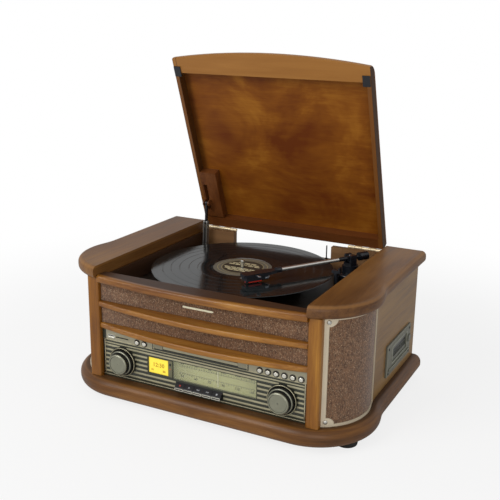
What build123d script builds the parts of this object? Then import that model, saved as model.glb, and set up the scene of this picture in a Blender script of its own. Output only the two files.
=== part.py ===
from build123d import *

import os
from math import atan2, cos, degrees, hypot, radians, sin, sqrt

os.makedirs("parts", exist_ok=True)

# A table-top stereo music centre: wooden cabinet with rounded speaker corners, a fascia with
# knobs, keys and a tuning scale, a turntable under a hinged lid, a CD tray and a cassette slot.
# All sizes are millimetres. Inside the cabinet, x runs to the right, y runs back from the front
# face of the two posts, and z is the height above the surface the set stands on.

# ---------------------------------------------------------------------- driving sizes
bay_half = 179.0            # half the clear width between the posts
back_y = 335.0              # rear face of the cabinet, and of the hinge line
foot_height = 9.0
plinth_height = 29.0
wall_height = 167.0         # from the plinth to the shoulders
shoulder_height = 20.0

seam = 0.3                  # running gap between pieces that move past each other
fit = 0.1                   # gap round a fixed insert
pin_play = 0.05             # radial gap round a pin or shaft

# Plan of the cabinet: a rounded front corner runs into an S-curve and a straight flank.
corner_inset = 19.0         # corner centre, in from the posts' inner faces
corner_radius = 96.5
front_reach = 11.5          # how far the rounded corners come in front of the posts
flank_step = 7.0            # how far the S-curve draws the side in
flank_run = 55.0            # length of the S-curve
plinth_step = 4.0           # the plinth stands out from the shoulders by this
wall_step = 12.0            # the walls stand in by this
wall_thickness = 14.0
wall_front_y = 123.0        # the side walls start here, behind the speaker grilles

post_width = 20.5
post_depth = 26.0

rail_bow_y = -17.0          # how far forward all three rails bow at the middle
top_rail_end_y, top_rail_height, top_rail_back_y = -3.6, 12.0, 20.0
top_rail_drop = 7.0         # the top rail starts this far below the shoulders
upper_rail_end_y, upper_rail_height = 0.6, 9.0
lower_rail_end_y, lower_rail_height = 3.1, 9.5
cloth_strip = 27.5          # height of the cloth between the two lower rails
bowed_rail_back_y = 18.0

fascia_y, fascia_thickness, fascia_height = 8.5, 4.0, 82.0

deck_drop = 31.0            # the turntable deck lies this far below the shoulders
notch_drop = 17.0           # and the low middle of the rear wall this far

hinge_rise = 9.1            # of the hinge pin's axis above the underside of the shoulders
lid_open = radians(69.4)    # angle between the lid and the horizontal as it stands open
lid_side_gap = 4.6          # between the lid's edge and the line of the posts
lid_thickness = 21.0        # panel and frame together
lid_panel_thickness = 5.0
lid_rear_s = 3.0            # the lid starts this far from the hinge line
leaf_thickness = 1.0        # of a hinge leaf
leaf_gap = 0.1              # from a leaf to the level of the pin's axis

# ---------------------------------------------------------------------- derived levels
plinth_top = foot_height + plinth_height
shoulder_base = plinth_top + wall_height
corner_x = bay_half - corner_inset
corner_y = corner_radius - front_reach
flank_x = corner_x + corner_radius - flank_step
flank_y = corner_y + flank_run
bend_radius = (flank_run**2 + flank_step**2) / (4 * flank_step)
bend_angle = degrees(atan2(flank_run, 2 * bend_radius - flank_step))
top_rail_base = shoulder_base - top_rail_drop
lower_rail_base = plinth_top + fascia_height
upper_rail_base = lower_rail_base + lower_rail_height + cloth_strip
deck_top = shoulder_base - deck_drop
hinge_z = shoulder_base + hinge_rise
wall_outer_x = flank_x - wall_step
wall_inner_x = wall_outer_x - wall_thickness
shoulder_inner_x = bay_half + 1.0
post_outer_x = bay_half + post_width
fascia_back_y = fascia_y + fascia_thickness
fascia_top = lower_rail_base

hinge_y = back_y
underside_d = -(leaf_gap + leaf_thickness)      # of the lid's frame, below the hinge plane
lid_top_d = underside_d - lid_thickness
panel_d = lid_top_d + lid_panel_thickness

# The origin lies under the middle of the set, with its lid standing open.
lid_back_y = hinge_y - cos(lid_open) * lid_rear_s - sin(lid_open) * lid_top_d
front_y = -(rail_bow_y + lid_back_y) / 2


# ---------------------------------------------------------------------- planes and blocks
def level(z):
    """A horizontal plane at height z, with the cabinet's x and y."""
    return Plane(origin=(0, front_y, z))


def facing(y):
    """An upright plane at depth y, seen from the front: x to the right and z up."""
    return Plane(origin=(0, front_y + y, 0), x_dir=(1, 0, 0), z_dir=(0, -1, 0))


def across(x):
    """An upright plane through the set at x: y to the back and z up."""
    return Plane(origin=(x, front_y, 0), x_dir=(0, 1, 0), z_dir=(1, 0, 0))


cabinet = level(0)

# The lid's own plane: x as in the cabinet, s from the hinge line to the lid's front edge, and d
# at right angles, towards the record when the lid is shut.
lid = Plane(
    origin=(0, front_y + hinge_y, hinge_z),
    x_dir=(1, 0, 0),
    z_dir=(0, -sin(lid_open), -cos(lid_open)),
)

UP = (0, 0, 0)
FORWARD = (90, 0, 0)
RIGHTWARD = (0, 90, 0)
LOW = (Align.MIN, Align.MIN, Align.MIN)
ON_END = (Align.CENTER, Align.CENTER, Align.MIN)


def slab(x0, x1, y0, y1, z0, z1, mode=Mode.ADD):
    """A block between two opposite corners."""
    with Locations((x0, y0, z0)):
        Box(x1 - x0, y1 - y0, z1 - z0, align=LOW, mode=mode)


def rod(x, y, z, radius, length, turn=UP, mode=Mode.ADD):
    """A round bar that starts at a point and runs the way it is turned."""
    with Locations(Location((x, y, z), turn)):
        Cylinder(radius, length, align=ON_END, mode=mode)


def turned(plane, points, axis, mode=Mode.ADD):
    """A turned piece: a closed outline in a plane, spun about an axis."""
    with BuildSketch(plane) as profile:
        with BuildLine():
            Polyline(*points, close=True)
        make_face()
    revolve(profile.sketch, axis=axis, mode=mode)


def prism(plane, points, amount, mode=Mode.ADD, both=False):
    """A straight-sided outline in a plane, drawn out along the plane's normal."""
    with BuildSketch(plane) as profile:
        with BuildLine():
            Polyline(*points, close=True)
        make_face()
    extrude(profile.sketch, amount=amount, mode=mode, both=both)


def save(piece, name):
    """Label a finished piece and write it to its own file."""
    piece.part.label = name
    export_step(piece.part, f"parts/{name}.step")


# ---------------------------------------------------------------------- cabinet woodwork
def plan_outline(inset):
    """Right half of the cabinet's plan, drawn in by inset all round its front and side."""
    corner = corner_radius - inset
    bulge_x = corner_x + corner_radius - bend_radius
    hollow_x = flank_x + bend_radius
    with BuildSketch() as plan:
        with BuildLine():
            Line((0, corner_y - corner), (corner_x, corner_y - corner))
            CenterArc((corner_x, corner_y), corner, -90, 90)
            CenterArc((bulge_x, corner_y), bend_radius - inset, 0, bend_angle)
            CenterArc((hollow_x, flank_y), bend_radius + inset, 180 + bend_angle, -bend_angle)
            Polyline(
                (flank_x - inset, flank_y),
                (flank_x - inset, back_y),
                (0, back_y),
                (0, corner_y - corner),
            )
        make_face()
    return plan.sketch


def plan_strip(inset, depth, x0, y0, y1):
    """The part of the plan outline right of x0 and between two depths; a band if depth is set."""
    with BuildSketch() as strip:
        add(plan_outline(inset))
        if depth:
            add(plan_outline(inset + depth), mode=Mode.SUBTRACT)
        with Locations((x0, y0)):
            Rectangle(2 * flank_x, y1 - y0, align=(Align.MIN, Align.MIN), mode=Mode.INTERSECT)
    return strip.sketch


far_front_y = corner_y - corner_radius - plinth_step

plinth_round = 13.0
with BuildPart() as plinth:
    with BuildSketch(level(foot_height)):
        add(plan_outline(-plinth_step))
        mirror(about=Plane.YZ)
    extrude(amount=plinth_height)
    rims = plinth.faces().filter_by(Axis.Z).edges().sort_by(Axis.Y)[:-2]
    fillet(rims, plinth_round)
save(plinth, "plinth")

foot_radius, foot_taper = 18.0, 1.6
foot_x, foot_front_y, foot_from_back = flank_x - 44.5, 47.0, 45.0
foot_screw_radius, foot_head_radius, foot_head_depth = 2.2, 4.5, 5.0
with BuildPart(cabinet) as feet:
    foot_places = [(x, y, 0) for x in (-foot_x, foot_x) for y in (foot_front_y, back_y - foot_from_back)]
    with Locations(*foot_places):
        Cone(foot_radius - foot_taper, foot_radius, foot_height, align=ON_END)
        Cylinder(foot_head_radius, foot_head_depth, align=ON_END, mode=Mode.SUBTRACT)
        Cylinder(foot_screw_radius, foot_height, align=ON_END, mode=Mode.SUBTRACT)
save(feet, "feet")

shoulder_round = 8.0
with BuildPart() as right_shoulder:
    with BuildSketch(level(shoulder_base)):
        add(plan_strip(0, 0, shoulder_inner_x, far_front_y, back_y))
    extrude(amount=shoulder_height)
    rims = right_shoulder.faces().filter_by(Axis.Z).edges()
    outer = rims.filter_by(lambda e: e.center().X > shoulder_inner_x + 1).sort_by(Axis.Y)[:-2]
    fillet(outer, shoulder_round)
with BuildPart() as left_shoulder:
    mirror(right_shoulder.part, about=Plane.YZ)
save(right_shoulder, "right_shoulder")
save(left_shoulder, "left_shoulder")

# The cassette deck's place in the right side wall.
deck_bezel_y, deck_bezel_length = 180.0, 122.0
deck_bezel_base, deck_bezel_height, deck_bezel_thickness = plinth_top + 16.0, 53.0, 3.5
deck_bezel_lip = 5.0        # how far the bezel overlaps the wall round its opening

with BuildPart(cabinet) as left_side_wall:
    with BuildSketch(level(plinth_top)):
        add(plan_strip(wall_step, 0, wall_inner_x, wall_front_y, back_y))
        mirror(about=Plane.YZ, mode=Mode.REPLACE)
    extrude(amount=wall_height)
save(left_side_wall, "left_side_wall")

with BuildPart(cabinet) as right_side_wall:
    mirror(left_side_wall.part, about=Plane.YZ)
    slab(
        wall_inner_x - 1, wall_outer_x + 1,
        deck_bezel_y + deck_bezel_lip, deck_bezel_y + deck_bezel_length - deck_bezel_lip,
        deck_bezel_base + deck_bezel_lip, deck_bezel_base + deck_bezel_height - deck_bezel_lip,
        mode=Mode.SUBTRACT,
    )
save(right_side_wall, "right_side_wall")

post_round = 3.0
with BuildPart(cabinet) as front_posts:
    slab(bay_half, post_outer_x, 0, post_depth, plinth_top, shoulder_base)
    fillet(front_posts.edges().filter_by(Axis.Z).sort_by(Axis.Y)[:2], post_round)
    mirror(about=Plane.YZ)
save(front_posts, "front_posts")


def bowed_rail(end_y, rail_back_y, base, height, edge_round):
    """A rail between the posts whose front face bows forward."""
    with BuildPart() as rail:
        with BuildSketch(level(base)):
            with BuildLine():
                ThreePointArc((-bay_half, end_y), (0, rail_bow_y), (bay_half, end_y))
                Polyline(
                    (bay_half, end_y),
                    (bay_half, rail_back_y),
                    (-bay_half, rail_back_y),
                    (-bay_half, end_y),
                )
            make_face()
        extrude(amount=height)
        fillet(rail.edges().filter_by(GeomType.CIRCLE), edge_round)
    return rail.part


top_rail_round, bowed_rail_round = 4.0, 3.0
with BuildPart() as top_rail:
    add(bowed_rail(top_rail_end_y, top_rail_back_y, top_rail_base, top_rail_height, top_rail_round))
save(top_rail, "top_rail")

with BuildPart() as bowed_rails:
    for end_y, base, height in (
        (upper_rail_end_y, upper_rail_base, upper_rail_height),
        (lower_rail_end_y, lower_rail_base, lower_rail_height),
    ):
        add(bowed_rail(end_y, bowed_rail_back_y, base, height, bowed_rail_round))
save(bowed_rails, "bowed_rails")

cloth_y, cloth_thickness = 6.5, 4.0
lower_rail_top = lower_rail_base + lower_rail_height
upper_rail_top = upper_rail_base + upper_rail_height
with BuildPart(cabinet) as cloth_panels:
    slab(-bay_half, bay_half, cloth_y, cloth_y + cloth_thickness, upper_rail_top, top_rail_base)
    slab(-bay_half, bay_half, cloth_y, cloth_y + cloth_thickness, lower_rail_top, upper_rail_base)
save(cloth_panels, "cloth_panels")

# ---------------------------------------------------------------------- rear wall and sockets
rear_wall_y, rear_wall_thickness = back_y - 15.0, 12.0
rear_wall_back_y = rear_wall_y + rear_wall_thickness
notch_top = shoulder_base - notch_drop
block_top = hinge_z - leaf_gap - leaf_thickness
left_block_inner_x, right_block_inner_x = -(bay_half - 70.0), bay_half - 74.0
block_outer_x = bay_half - 2.0
panel_x0, panel_x1 = -60.0, 100.0
panel_z0, panel_z1 = plinth_top + 22.0, plinth_top + 72.0
panel_thickness, panel_lip = 2.0, 6.0
vent_width, vent_height, vent_pitch, vent_count = 4.0, 46.0, 10.0, 8
vent_x, vent_z = wall_inner_x - 65.5, plinth_top + 68.0
with BuildPart(cabinet) as rear_wall:
    prism(
        facing(rear_wall_back_y),
        [
            (-wall_inner_x, plinth_top), (wall_inner_x, plinth_top),
            (wall_inner_x, shoulder_base), (block_outer_x, shoulder_base),
            (block_outer_x, block_top), (right_block_inner_x, block_top),
            (right_block_inner_x, notch_top), (left_block_inner_x, notch_top),
            (left_block_inner_x, block_top), (-block_outer_x, block_top),
            (-block_outer_x, shoulder_base), (-wall_inner_x, shoulder_base),
        ],
        rear_wall_thickness,
    )
    slab(
        panel_x0 + panel_lip, panel_x1 - panel_lip, rear_wall_y - 1, rear_wall_back_y + 1,
        panel_z0 + panel_lip, panel_z1 - panel_lip, mode=Mode.SUBTRACT,
    )
    with BuildSketch(facing(rear_wall_back_y)) as vents:
        for side in (-vent_x, vent_x):
            with Locations((side, vent_z)):
                with GridLocations(vent_pitch, 1, vent_count, 1):
                    SlotOverall(vent_height, vent_width, rotation=90)
    extrude(amount=rear_wall_thickness, mode=Mode.SUBTRACT)
save(rear_wall, "rear_wall")

jack_radius, jack_length, jack_bore, jack_bore_depth = 4.15, 8.0, 1.6, 7.0
jack_collar_radius, jack_collar_height = 5.6, 1.5
jack_xs, jack_zs = (-40.0, -22.0), (panel_z0 + 18.0, panel_z0 + 34.0)
inlet_x, inlet_z = 72.0, panel_z0 + 25.0
inlet_width, inlet_height, inlet_depth = 22.0, 13.0, 11.0
inlet_wall, inlet_pin_radius, inlet_pin_reach, inlet_pin_pitch = 2.0, 1.2, 7.0, 8.6
with BuildPart(cabinet) as jack_panel:
    slab(panel_x0, panel_x1, rear_wall_back_y, rear_wall_back_y + panel_thickness, panel_z0, panel_z1)
    panel_back_y = rear_wall_back_y + panel_thickness
    for jack_x in jack_xs:
        for jack_z in jack_zs:
            rod(jack_x, panel_back_y + jack_collar_height, jack_z, jack_collar_radius,
                jack_collar_height, FORWARD)
            rod(jack_x, panel_back_y + jack_length, jack_z, jack_radius, jack_length, FORWARD)
            rod(jack_x, panel_back_y + jack_length, jack_z, jack_bore, jack_bore_depth, FORWARD,
                mode=Mode.SUBTRACT)
    inlet_half, inlet_half_z = inlet_width / 2, inlet_height / 2
    slab(
        inlet_x - inlet_half - inlet_wall, inlet_x + inlet_half + inlet_wall,
        panel_back_y - inlet_depth - inlet_wall, panel_back_y,
        inlet_z - inlet_half_z - inlet_wall, inlet_z + inlet_half_z + inlet_wall,
    )
    slab(
        inlet_x - inlet_half, inlet_x + inlet_half, panel_back_y - inlet_depth, panel_back_y + 1,
        inlet_z - inlet_half_z, inlet_z + inlet_half_z, mode=Mode.SUBTRACT,
    )
    for pin_x in (inlet_x - inlet_pin_pitch / 2, inlet_x + inlet_pin_pitch / 2):
        rod(pin_x, panel_back_y - inlet_depth + inlet_pin_reach, inlet_z, inlet_pin_radius,
            inlet_pin_reach + 0.5, FORWARD)
save(jack_panel, "jack_panel")

# ---------------------------------------------------------------------- speaker corners
frame_thickness = 1.6
grille_end_y = wall_front_y - seam
post_bar, rear_bar, end_bar = 5.6, 4.0, 4.0     # widths of the frame's bars
ear_radius = 10.0                                # the frame's ears, beside the post
window_x, window_end_y = post_outer_x + post_bar, grille_end_y - rear_bar
window_z0, window_z1 = plinth_top + end_bar, shoulder_base - end_bar
with BuildPart(cabinet) as grille_window:
    with BuildSketch(level(window_z0)):
        add(plan_strip(wall_step - 1, frame_thickness + 2, window_x, far_front_y, window_end_y))
    extrude(amount=window_z1 - window_z0)
    for ear_z in (window_z0, window_z1):
        rod(window_x, corner_y, ear_z, ear_radius, 2 * corner_y, FORWARD, mode=Mode.SUBTRACT)

with BuildPart() as grille_frames:
    with BuildSketch(level(plinth_top)):
        add(plan_strip(wall_step, frame_thickness, post_outer_x, far_front_y, grille_end_y))
    extrude(amount=wall_height)
    add(grille_window.part, mode=Mode.SUBTRACT)
    mirror(about=Plane.YZ)
save(grille_frames, "grille_frames")

grille_cloth_thickness = 2.0
cloth_step = wall_step + frame_thickness + fit
with BuildPart() as grille_cloths:
    with BuildSketch(level(plinth_top)):
        add(plan_strip(cloth_step, grille_cloth_thickness, post_outer_x, far_front_y, grille_end_y))
    extrude(amount=wall_height)
    mirror(about=Plane.YZ)
save(grille_cloths, "grille_cloths")

cloth_inner_radius = corner_radius - cloth_step - grille_cloth_thickness
cloth_inner_y = corner_y - sqrt(cloth_inner_radius**2 - (wall_inner_x - corner_x) ** 2)
baffle_thickness, baffle_overlap = 7.0, 9.0
baffle_front_y = cloth_inner_y + 2.7
driver_y, driver_z, driver_radius = baffle_front_y + 42.0, plinth_top + 84.0, 32.4
flange_radius, flange_thickness, basket_depth, magnet_depth = 37.0, 2.0, 26.5, 38.5
magnet_radius, neck_radius, cone_depth, cap_radius = 22.0, 16.0, 14.5, 9.0
with BuildPart(cabinet) as speaker_baffle:
    slab(
        wall_inner_x - baffle_thickness, wall_inner_x,
        baffle_front_y, wall_front_y + baffle_overlap, plinth_top, shoulder_base,
    )
    rod(wall_inner_x - baffle_thickness, driver_y, driver_z, driver_radius + fit,
        baffle_thickness, RIGHTWARD, mode=Mode.SUBTRACT)
with BuildPart() as speaker_cone:
    driver_plane = Plane(
        origin=(wall_inner_x, front_y + driver_y, driver_z), x_dir=(1, 0, 0), z_dir=(0, -1, 0)
    )
    turned(
        driver_plane,
        [
            (-magnet_depth, 0), (-magnet_depth, magnet_radius),
            (-basket_depth, magnet_radius), (-basket_depth, neck_radius),
            (-baffle_thickness - 13, neck_radius), (-baffle_thickness - 2, driver_radius),
            (0, driver_radius), (0, flange_radius),
            (flange_thickness, flange_radius), (flange_thickness, driver_radius - 1),
            (0.8, driver_radius - 2), (flange_thickness, driver_radius - 4),
            (0.5, driver_radius - 6), (-cone_depth, cap_radius),
            (-cone_depth + 2.2, cap_radius * 0.6), (-cone_depth + 3, 0),
        ],
        Axis((wall_inner_x, front_y + driver_y, driver_z), (1, 0, 0)),
    )
with BuildPart() as speaker_drivers:
    add(speaker_baffle.part)
    add(speaker_cone.part)
    mirror(about=Plane.YZ)
save(speaker_drivers, "speaker_drivers")

# ---------------------------------------------------------------------- fascia and its inserts
knob_x, knob_z = bay_half - 39.0, plinth_top + 31.0
knob_radius, knob_shaft_radius, knob_shaft_reach = 21.0, 3.0, 9.5
bezel_ring_radius, bezel_ring_height = 23.5, 4.0
bush_radius, bush_length = 6.0, 7.5

left_button_xs = (-112.5, -99.0)
right_button_x, button_pitch, right_button_count = bay_half - 43.4, 13.2, 6
right_button_xs = [
    right_button_x + button_pitch * (i - (right_button_count - 1) / 2)
    for i in range(right_button_count)
]
button_z, button_radius, button_hole_radius = fascia_top - 13.5, 3.7, 4.0
button_front_y, button_travel = 5.0, 1.5
button_flange_radius, button_flange_thickness = 5.0, 1.0
button_stem_radius, button_stem_back_y = 2.0, 22.0

raised_plate_inner_x, raised_plate_base, raised_plate_height = 82.7, fascia_top - 18.5, 0.8

display_x0, display_x1 = -92.0, -56.0
display_z0, display_z1 = plinth_top + 23.0, plinth_top + 49.0
display_depth, display_flange, display_sink = 8.0, 3.0, 0.5
scale_x0, scale_x1 = -48.0, 97.0
scale_z0, scale_z1 = plinth_top + 20.5, plinth_top + 50.8
window_thickness, window_sink = 2.0, 0.5

tray_half, tray_base, tray_height = 65.5, fascia_top - 16.0, 13.0

key_count, key_pitch, key_gap = 5, 16.2, 0.6
key_base, key_top = plinth_top + 6.5, plinth_top + 17.3
key_front_y, key_nose_z, key_back_y = 0.6, plinth_top + 12.0, 24.0
key_travel, key_lug_thickness, key_lug_drop = 3.0, 2.4, 1.8
key_row_half = key_count * key_pitch / 2

usb_x, usb_z, usb_width, usb_height = -(bay_half - 17.0), fascia_top - 12.0, 12.9, 5.3
card_x, card_z, card_width, card_height = usb_x + 21.0, fascia_top - 11.8, 24.6, 2.8
socket_shell, socket_depth = 0.6, 14.0
socket_block_x0, socket_block_x1 = usb_x - 10.0, usb_x + 37.0
socket_block_z0, socket_block_z1 = fascia_top - 19.0, fascia_top - 5.0


def knob_hub(x, ring_y, radius, depth, mode=Mode.ADD):
    """A round boss or bore about a knob's axis, running forward from ring_y."""
    rod(x, ring_y, knob_z, radius, depth, FORWARD, mode)


with BuildPart(cabinet) as fascia:
    slab(-bay_half, bay_half, fascia_y, fascia_back_y, plinth_top, fascia_top)
    for x0, x1 in ((-bay_half, -raised_plate_inner_x), (raised_plate_inner_x, bay_half)):
        slab(x0, x1, fascia_y - raised_plate_height, fascia_y, raised_plate_base, fascia_top)
    for x in (-knob_x, knob_x):
        knob_hub(x, fascia_y, bezel_ring_radius, bezel_ring_height)
        knob_hub(x, fascia_y, knob_radius + 2 * seam, bezel_ring_height, Mode.SUBTRACT)
        knob_hub(x, fascia_back_y + bush_length, bush_radius, bush_length)
        knob_hub(x, fascia_back_y + bush_length, knob_shaft_radius + pin_play,
                 bush_length + fascia_thickness, Mode.SUBTRACT)
    for x in (*left_button_xs, *right_button_xs):
        rod(x, fascia_back_y, button_z, button_hole_radius,
            fascia_thickness + raised_plate_height, FORWARD, Mode.SUBTRACT)
    through = (fascia_y - 1, fascia_back_y + 1)
    slab(display_x0, display_x1, *through, display_z0, display_z1, Mode.SUBTRACT)
    slab(scale_x0, scale_x1, *through, scale_z0, scale_z1, Mode.SUBTRACT)
    slab(-tray_half - seam, tray_half + seam, *through,
         tray_base - seam, tray_base + tray_height + seam, Mode.SUBTRACT)
    slab(-key_row_half, key_row_half, *through, key_base - seam, key_top + seam, Mode.SUBTRACT)
    for x, z, width, height in (
        (usb_x, usb_z, usb_width + 2 * socket_shell, usb_height + 2 * socket_shell),
        (card_x, card_z, card_width, card_height),
    ):
        slab(x - width / 2, x + width / 2, *through, z - height / 2, z + height / 2, Mode.SUBTRACT)
save(fascia, "fascia")

with BuildPart(cabinet) as dial_window:
    slab(scale_x0 + fit, scale_x1 - fit, fascia_y + window_sink,
         fascia_y + window_sink + window_thickness, scale_z0 + fit, scale_z1 - fit)
save(dial_window, "dial_window")

with BuildPart(cabinet) as display:
    slab(display_x0 + fit, display_x1 - fit, fascia_y + display_sink, fascia_back_y,
         display_z0 + fit, display_z1 - fit)
    slab(display_x0 - display_flange, display_x1 + display_flange, fascia_back_y,
         fascia_y + display_depth, display_z0 - display_flange, display_z1 + display_flange)
save(display, "display")

# The dial plate is a shallow pan behind the window. Its back carries the printed scale and, above
# the window, the rail on which the pointer's carriage runs.
pan_wall, pan_depth, pan_margin = 2.0, 7.0, 2.0
pan_x0, pan_x1 = scale_x0 - pan_margin - pan_wall, scale_x1 + pan_margin + pan_wall
pan_z0, pan_z1 = scale_z0 - 2.1, scale_z1 + 7.6
pan_back_y = fascia_back_y + pan_depth
guide_height, guide_depth = 1.6, 2.5
guide_z = scale_z1 + 2.6                    # centre height of the rail
arm_thickness = 1.4                         # of the carriage above and below the rail
with BuildPart(cabinet) as dial_plate:
    slab(pan_x0, pan_x1, fascia_back_y, pan_back_y, pan_z0, pan_z1)
    slab(pan_x0 + pan_wall, pan_x1 - pan_wall, fascia_back_y, pan_back_y - pan_wall,
         pan_z0 + pan_wall, pan_z1 - pan_wall, Mode.SUBTRACT)
    slab(pan_x0 + pan_wall, pan_x1 - pan_wall, pan_back_y - pan_wall - guide_depth,
         pan_back_y - pan_wall, guide_z - guide_height / 2, guide_z + guide_height / 2)
save(dial_plate, "dial_plate")

pointer_x, pointer_width, pointer_thickness, pointer_base = 29.5, 1.6, 1.2, scale_z0 + 1.5
carriage_half = 6.0
carriage_front_y, carriage_back_y = fascia_back_y + 2 * seam, pan_back_y - pan_wall - seam
carriage_half_height = guide_height / 2 + seam + arm_thickness
with BuildPart(cabinet) as dial_pointer:
    slab(pointer_x - carriage_half, pointer_x + carriage_half, carriage_front_y, carriage_back_y,
         guide_z - carriage_half_height, guide_z + carriage_half_height)
    slab(pointer_x - carriage_half, pointer_x + carriage_half,
         pan_back_y - pan_wall - guide_depth - seam, carriage_back_y,
         guide_z - guide_height / 2 - seam, guide_z + guide_height / 2 + seam, Mode.SUBTRACT)
    slab(pointer_x - pointer_width / 2, pointer_x + pointer_width / 2, carriage_front_y,
         carriage_front_y + pointer_thickness, pointer_base, guide_z - guide_height)
save(dial_pointer, "dial_pointer")

with BuildPart(cabinet) as media_sockets:
    slab(socket_block_x0, socket_block_x1, fascia_back_y, fascia_back_y + socket_depth,
         socket_block_z0, socket_block_z1)
    usb_half, usb_half_z = usb_width / 2, usb_height / 2
    slab(usb_x - usb_half - socket_shell + fit, usb_x + usb_half + socket_shell - fit,
         fascia_y - raised_plate_height, fascia_back_y,
         usb_z - usb_half_z - socket_shell + fit, usb_z + usb_half_z + socket_shell - fit)
    slab(usb_x - usb_half, usb_x + usb_half, fascia_y - 1, fascia_back_y + socket_depth - 2,
         usb_z - usb_half_z, usb_z + usb_half_z, Mode.SUBTRACT)
    slab(usb_x - usb_half + 0.8, usb_x + usb_half - 0.8, fascia_y + 1,
         fascia_back_y + socket_depth - 2, usb_z + 0.2, usb_z + 2.0)
    slab(card_x - card_width / 2, card_x + card_width / 2, fascia_back_y - 1,
         fascia_back_y + socket_depth - 2, card_z - card_height / 2, card_z + card_height / 2,
         Mode.SUBTRACT)
save(media_sockets, "media_sockets")

# ---------------------------------------------------------------------- knobs, buttons, keys
knob_front_y = -9.5
knob_waist_y = -2.0


def knob(x):
    """A knob with a wide skirt, a stepped grip and a dished face, on its shaft."""
    skirt_y = fascia_y - seam
    plane = Plane(origin=(x, front_y, knob_z), x_dir=(1, 0, 0), z_dir=(0, 0, 1))
    with BuildPart() as piece:
        turned(
            plane,
            [
                (0, fascia_back_y + knob_shaft_reach),
                (knob_shaft_radius, fascia_back_y + knob_shaft_reach),
                (knob_shaft_radius, skirt_y), (knob_radius, skirt_y),
                (knob_radius, skirt_y - 2.5), (knob_radius - 0.6, knob_waist_y + 1),
                (knob_radius - 1.6, knob_waist_y), (knob_radius - 3.8, knob_waist_y),
                (knob_radius - 4.4, knob_front_y + 0.8), (knob_radius - 5.2, knob_front_y),
                (knob_radius - 6.6, knob_front_y), (knob_radius - 7.2, knob_front_y + 0.6),
                (0, knob_front_y + 0.6),
            ],
            Axis((x, front_y, knob_z), (0, 1, 0)),
        )
    return piece


volume_knob = knob(-knob_x)
save(volume_knob, "volume_knob")
tuning_knob = knob(knob_x)
save(tuning_knob, "tuning_knob")


def round_button(x):
    """A domed button with a flange behind the fascia and a stem to its switch."""
    flange_y = fascia_back_y + seam + button_flange_thickness
    with BuildPart(cabinet) as piece:
        rod(x, flange_y, button_z, button_radius, flange_y - button_front_y, FORWARD)
        fillet(piece.edges().sort_by(Axis.Y)[0], 1.6)
        rod(x, flange_y, button_z, button_flange_radius, button_flange_thickness, FORWARD)
        rod(x, button_stem_back_y, button_z, button_stem_radius,
            button_stem_back_y - flange_y, FORWARD)
    return piece


for side, button_xs in (("left", left_button_xs), ("right", right_button_xs)):
    for number, x in enumerate(button_xs, start=1):
        save(round_button(x), f"{side}_button_{number}")


def piano_key(x):
    """A key with a sloping top, a blunt nose and a lug that keeps it behind the fascia."""
    half = (key_pitch - key_gap) / 2
    lug_y = fascia_back_y + seam
    with BuildPart() as piece:
        prism(
            across(x - half),
            [
                (key_front_y + 1, key_base), (key_back_y, key_base), (key_back_y, key_top),
                (fascia_y + 0.5, key_top), (key_front_y + 1, key_nose_z),
                (key_front_y, key_nose_z - 1), (key_front_y, key_base + 1),
            ],
            2 * half,
        )
        prism(
            across(x - half),
            [
                (lug_y, key_base), (lug_y, key_base - key_lug_drop),
                (lug_y + key_lug_thickness, key_base - key_lug_drop),
                (lug_y + key_lug_thickness, key_base),
            ],
            2 * half,
        )
    return piece


for number in range(key_count):
    key_x = key_pitch * (number - (key_count - 1) / 2)
    save(piano_key(key_x), f"key_{number + 1}")

# ---------------------------------------------------------------------- CD drive and tray
drive_wall, drive_floor, drive_cover = 3.6, 2.5, 2.2
drive_back_y = 195.0
tray_body_half = tray_half - 0.5
tray_body_base, tray_body_thickness, tray_body_back_y = tray_base + 1, 5.0, 190.0
tray_front_thickness = 3.5
disc_y, disc_radius, disc_depth = 76.0, 60.6, 2.2
small_disc_radius, small_disc_depth = 40.6, 1.0
spindle_slot_half, spindle_slot_back = 12.0, 50.0
drive_inner_half = tray_body_half + 0.4
drive_base = tray_body_base - 6.5
drive_inner_top = tray_base + tray_height + seam
runner_width = 7.0
drive_leg_x, drive_leg_y, drive_leg_radius = 58.0, 184.0, 5.0
pickup_half, pickup_y0, pickup_y1, hub_radius = 25.0, 50.0, 118.0, 8.0
with BuildPart(cabinet) as cd_drive:
    outer_half = drive_inner_half + drive_wall
    slab(-outer_half, outer_half, fascia_back_y, drive_back_y, drive_base, drive_inner_top + drive_cover)
    slab(-drive_inner_half, drive_inner_half, fascia_back_y - 1, drive_back_y - drive_wall + 0.6,
         drive_base + drive_floor, drive_inner_top, Mode.SUBTRACT)
    for x0 in (-drive_inner_half, drive_inner_half - runner_width):
        slab(x0, x0 + runner_width, fascia_back_y, drive_back_y - drive_wall + 0.6,
             drive_base + drive_floor, tray_body_base - seam)
    slab(-pickup_half, pickup_half, pickup_y0, pickup_y1, drive_base + drive_floor, tray_body_base - 0.8)
    rod(0, disc_y, drive_base + drive_floor, hub_radius, tray_body_base - drive_base - drive_floor - seam)
    for x in (-drive_leg_x, drive_leg_x):
        rod(x, drive_leg_y, plinth_top, drive_leg_radius, drive_base - plinth_top)
save(cd_drive, "cd_drive")

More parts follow.
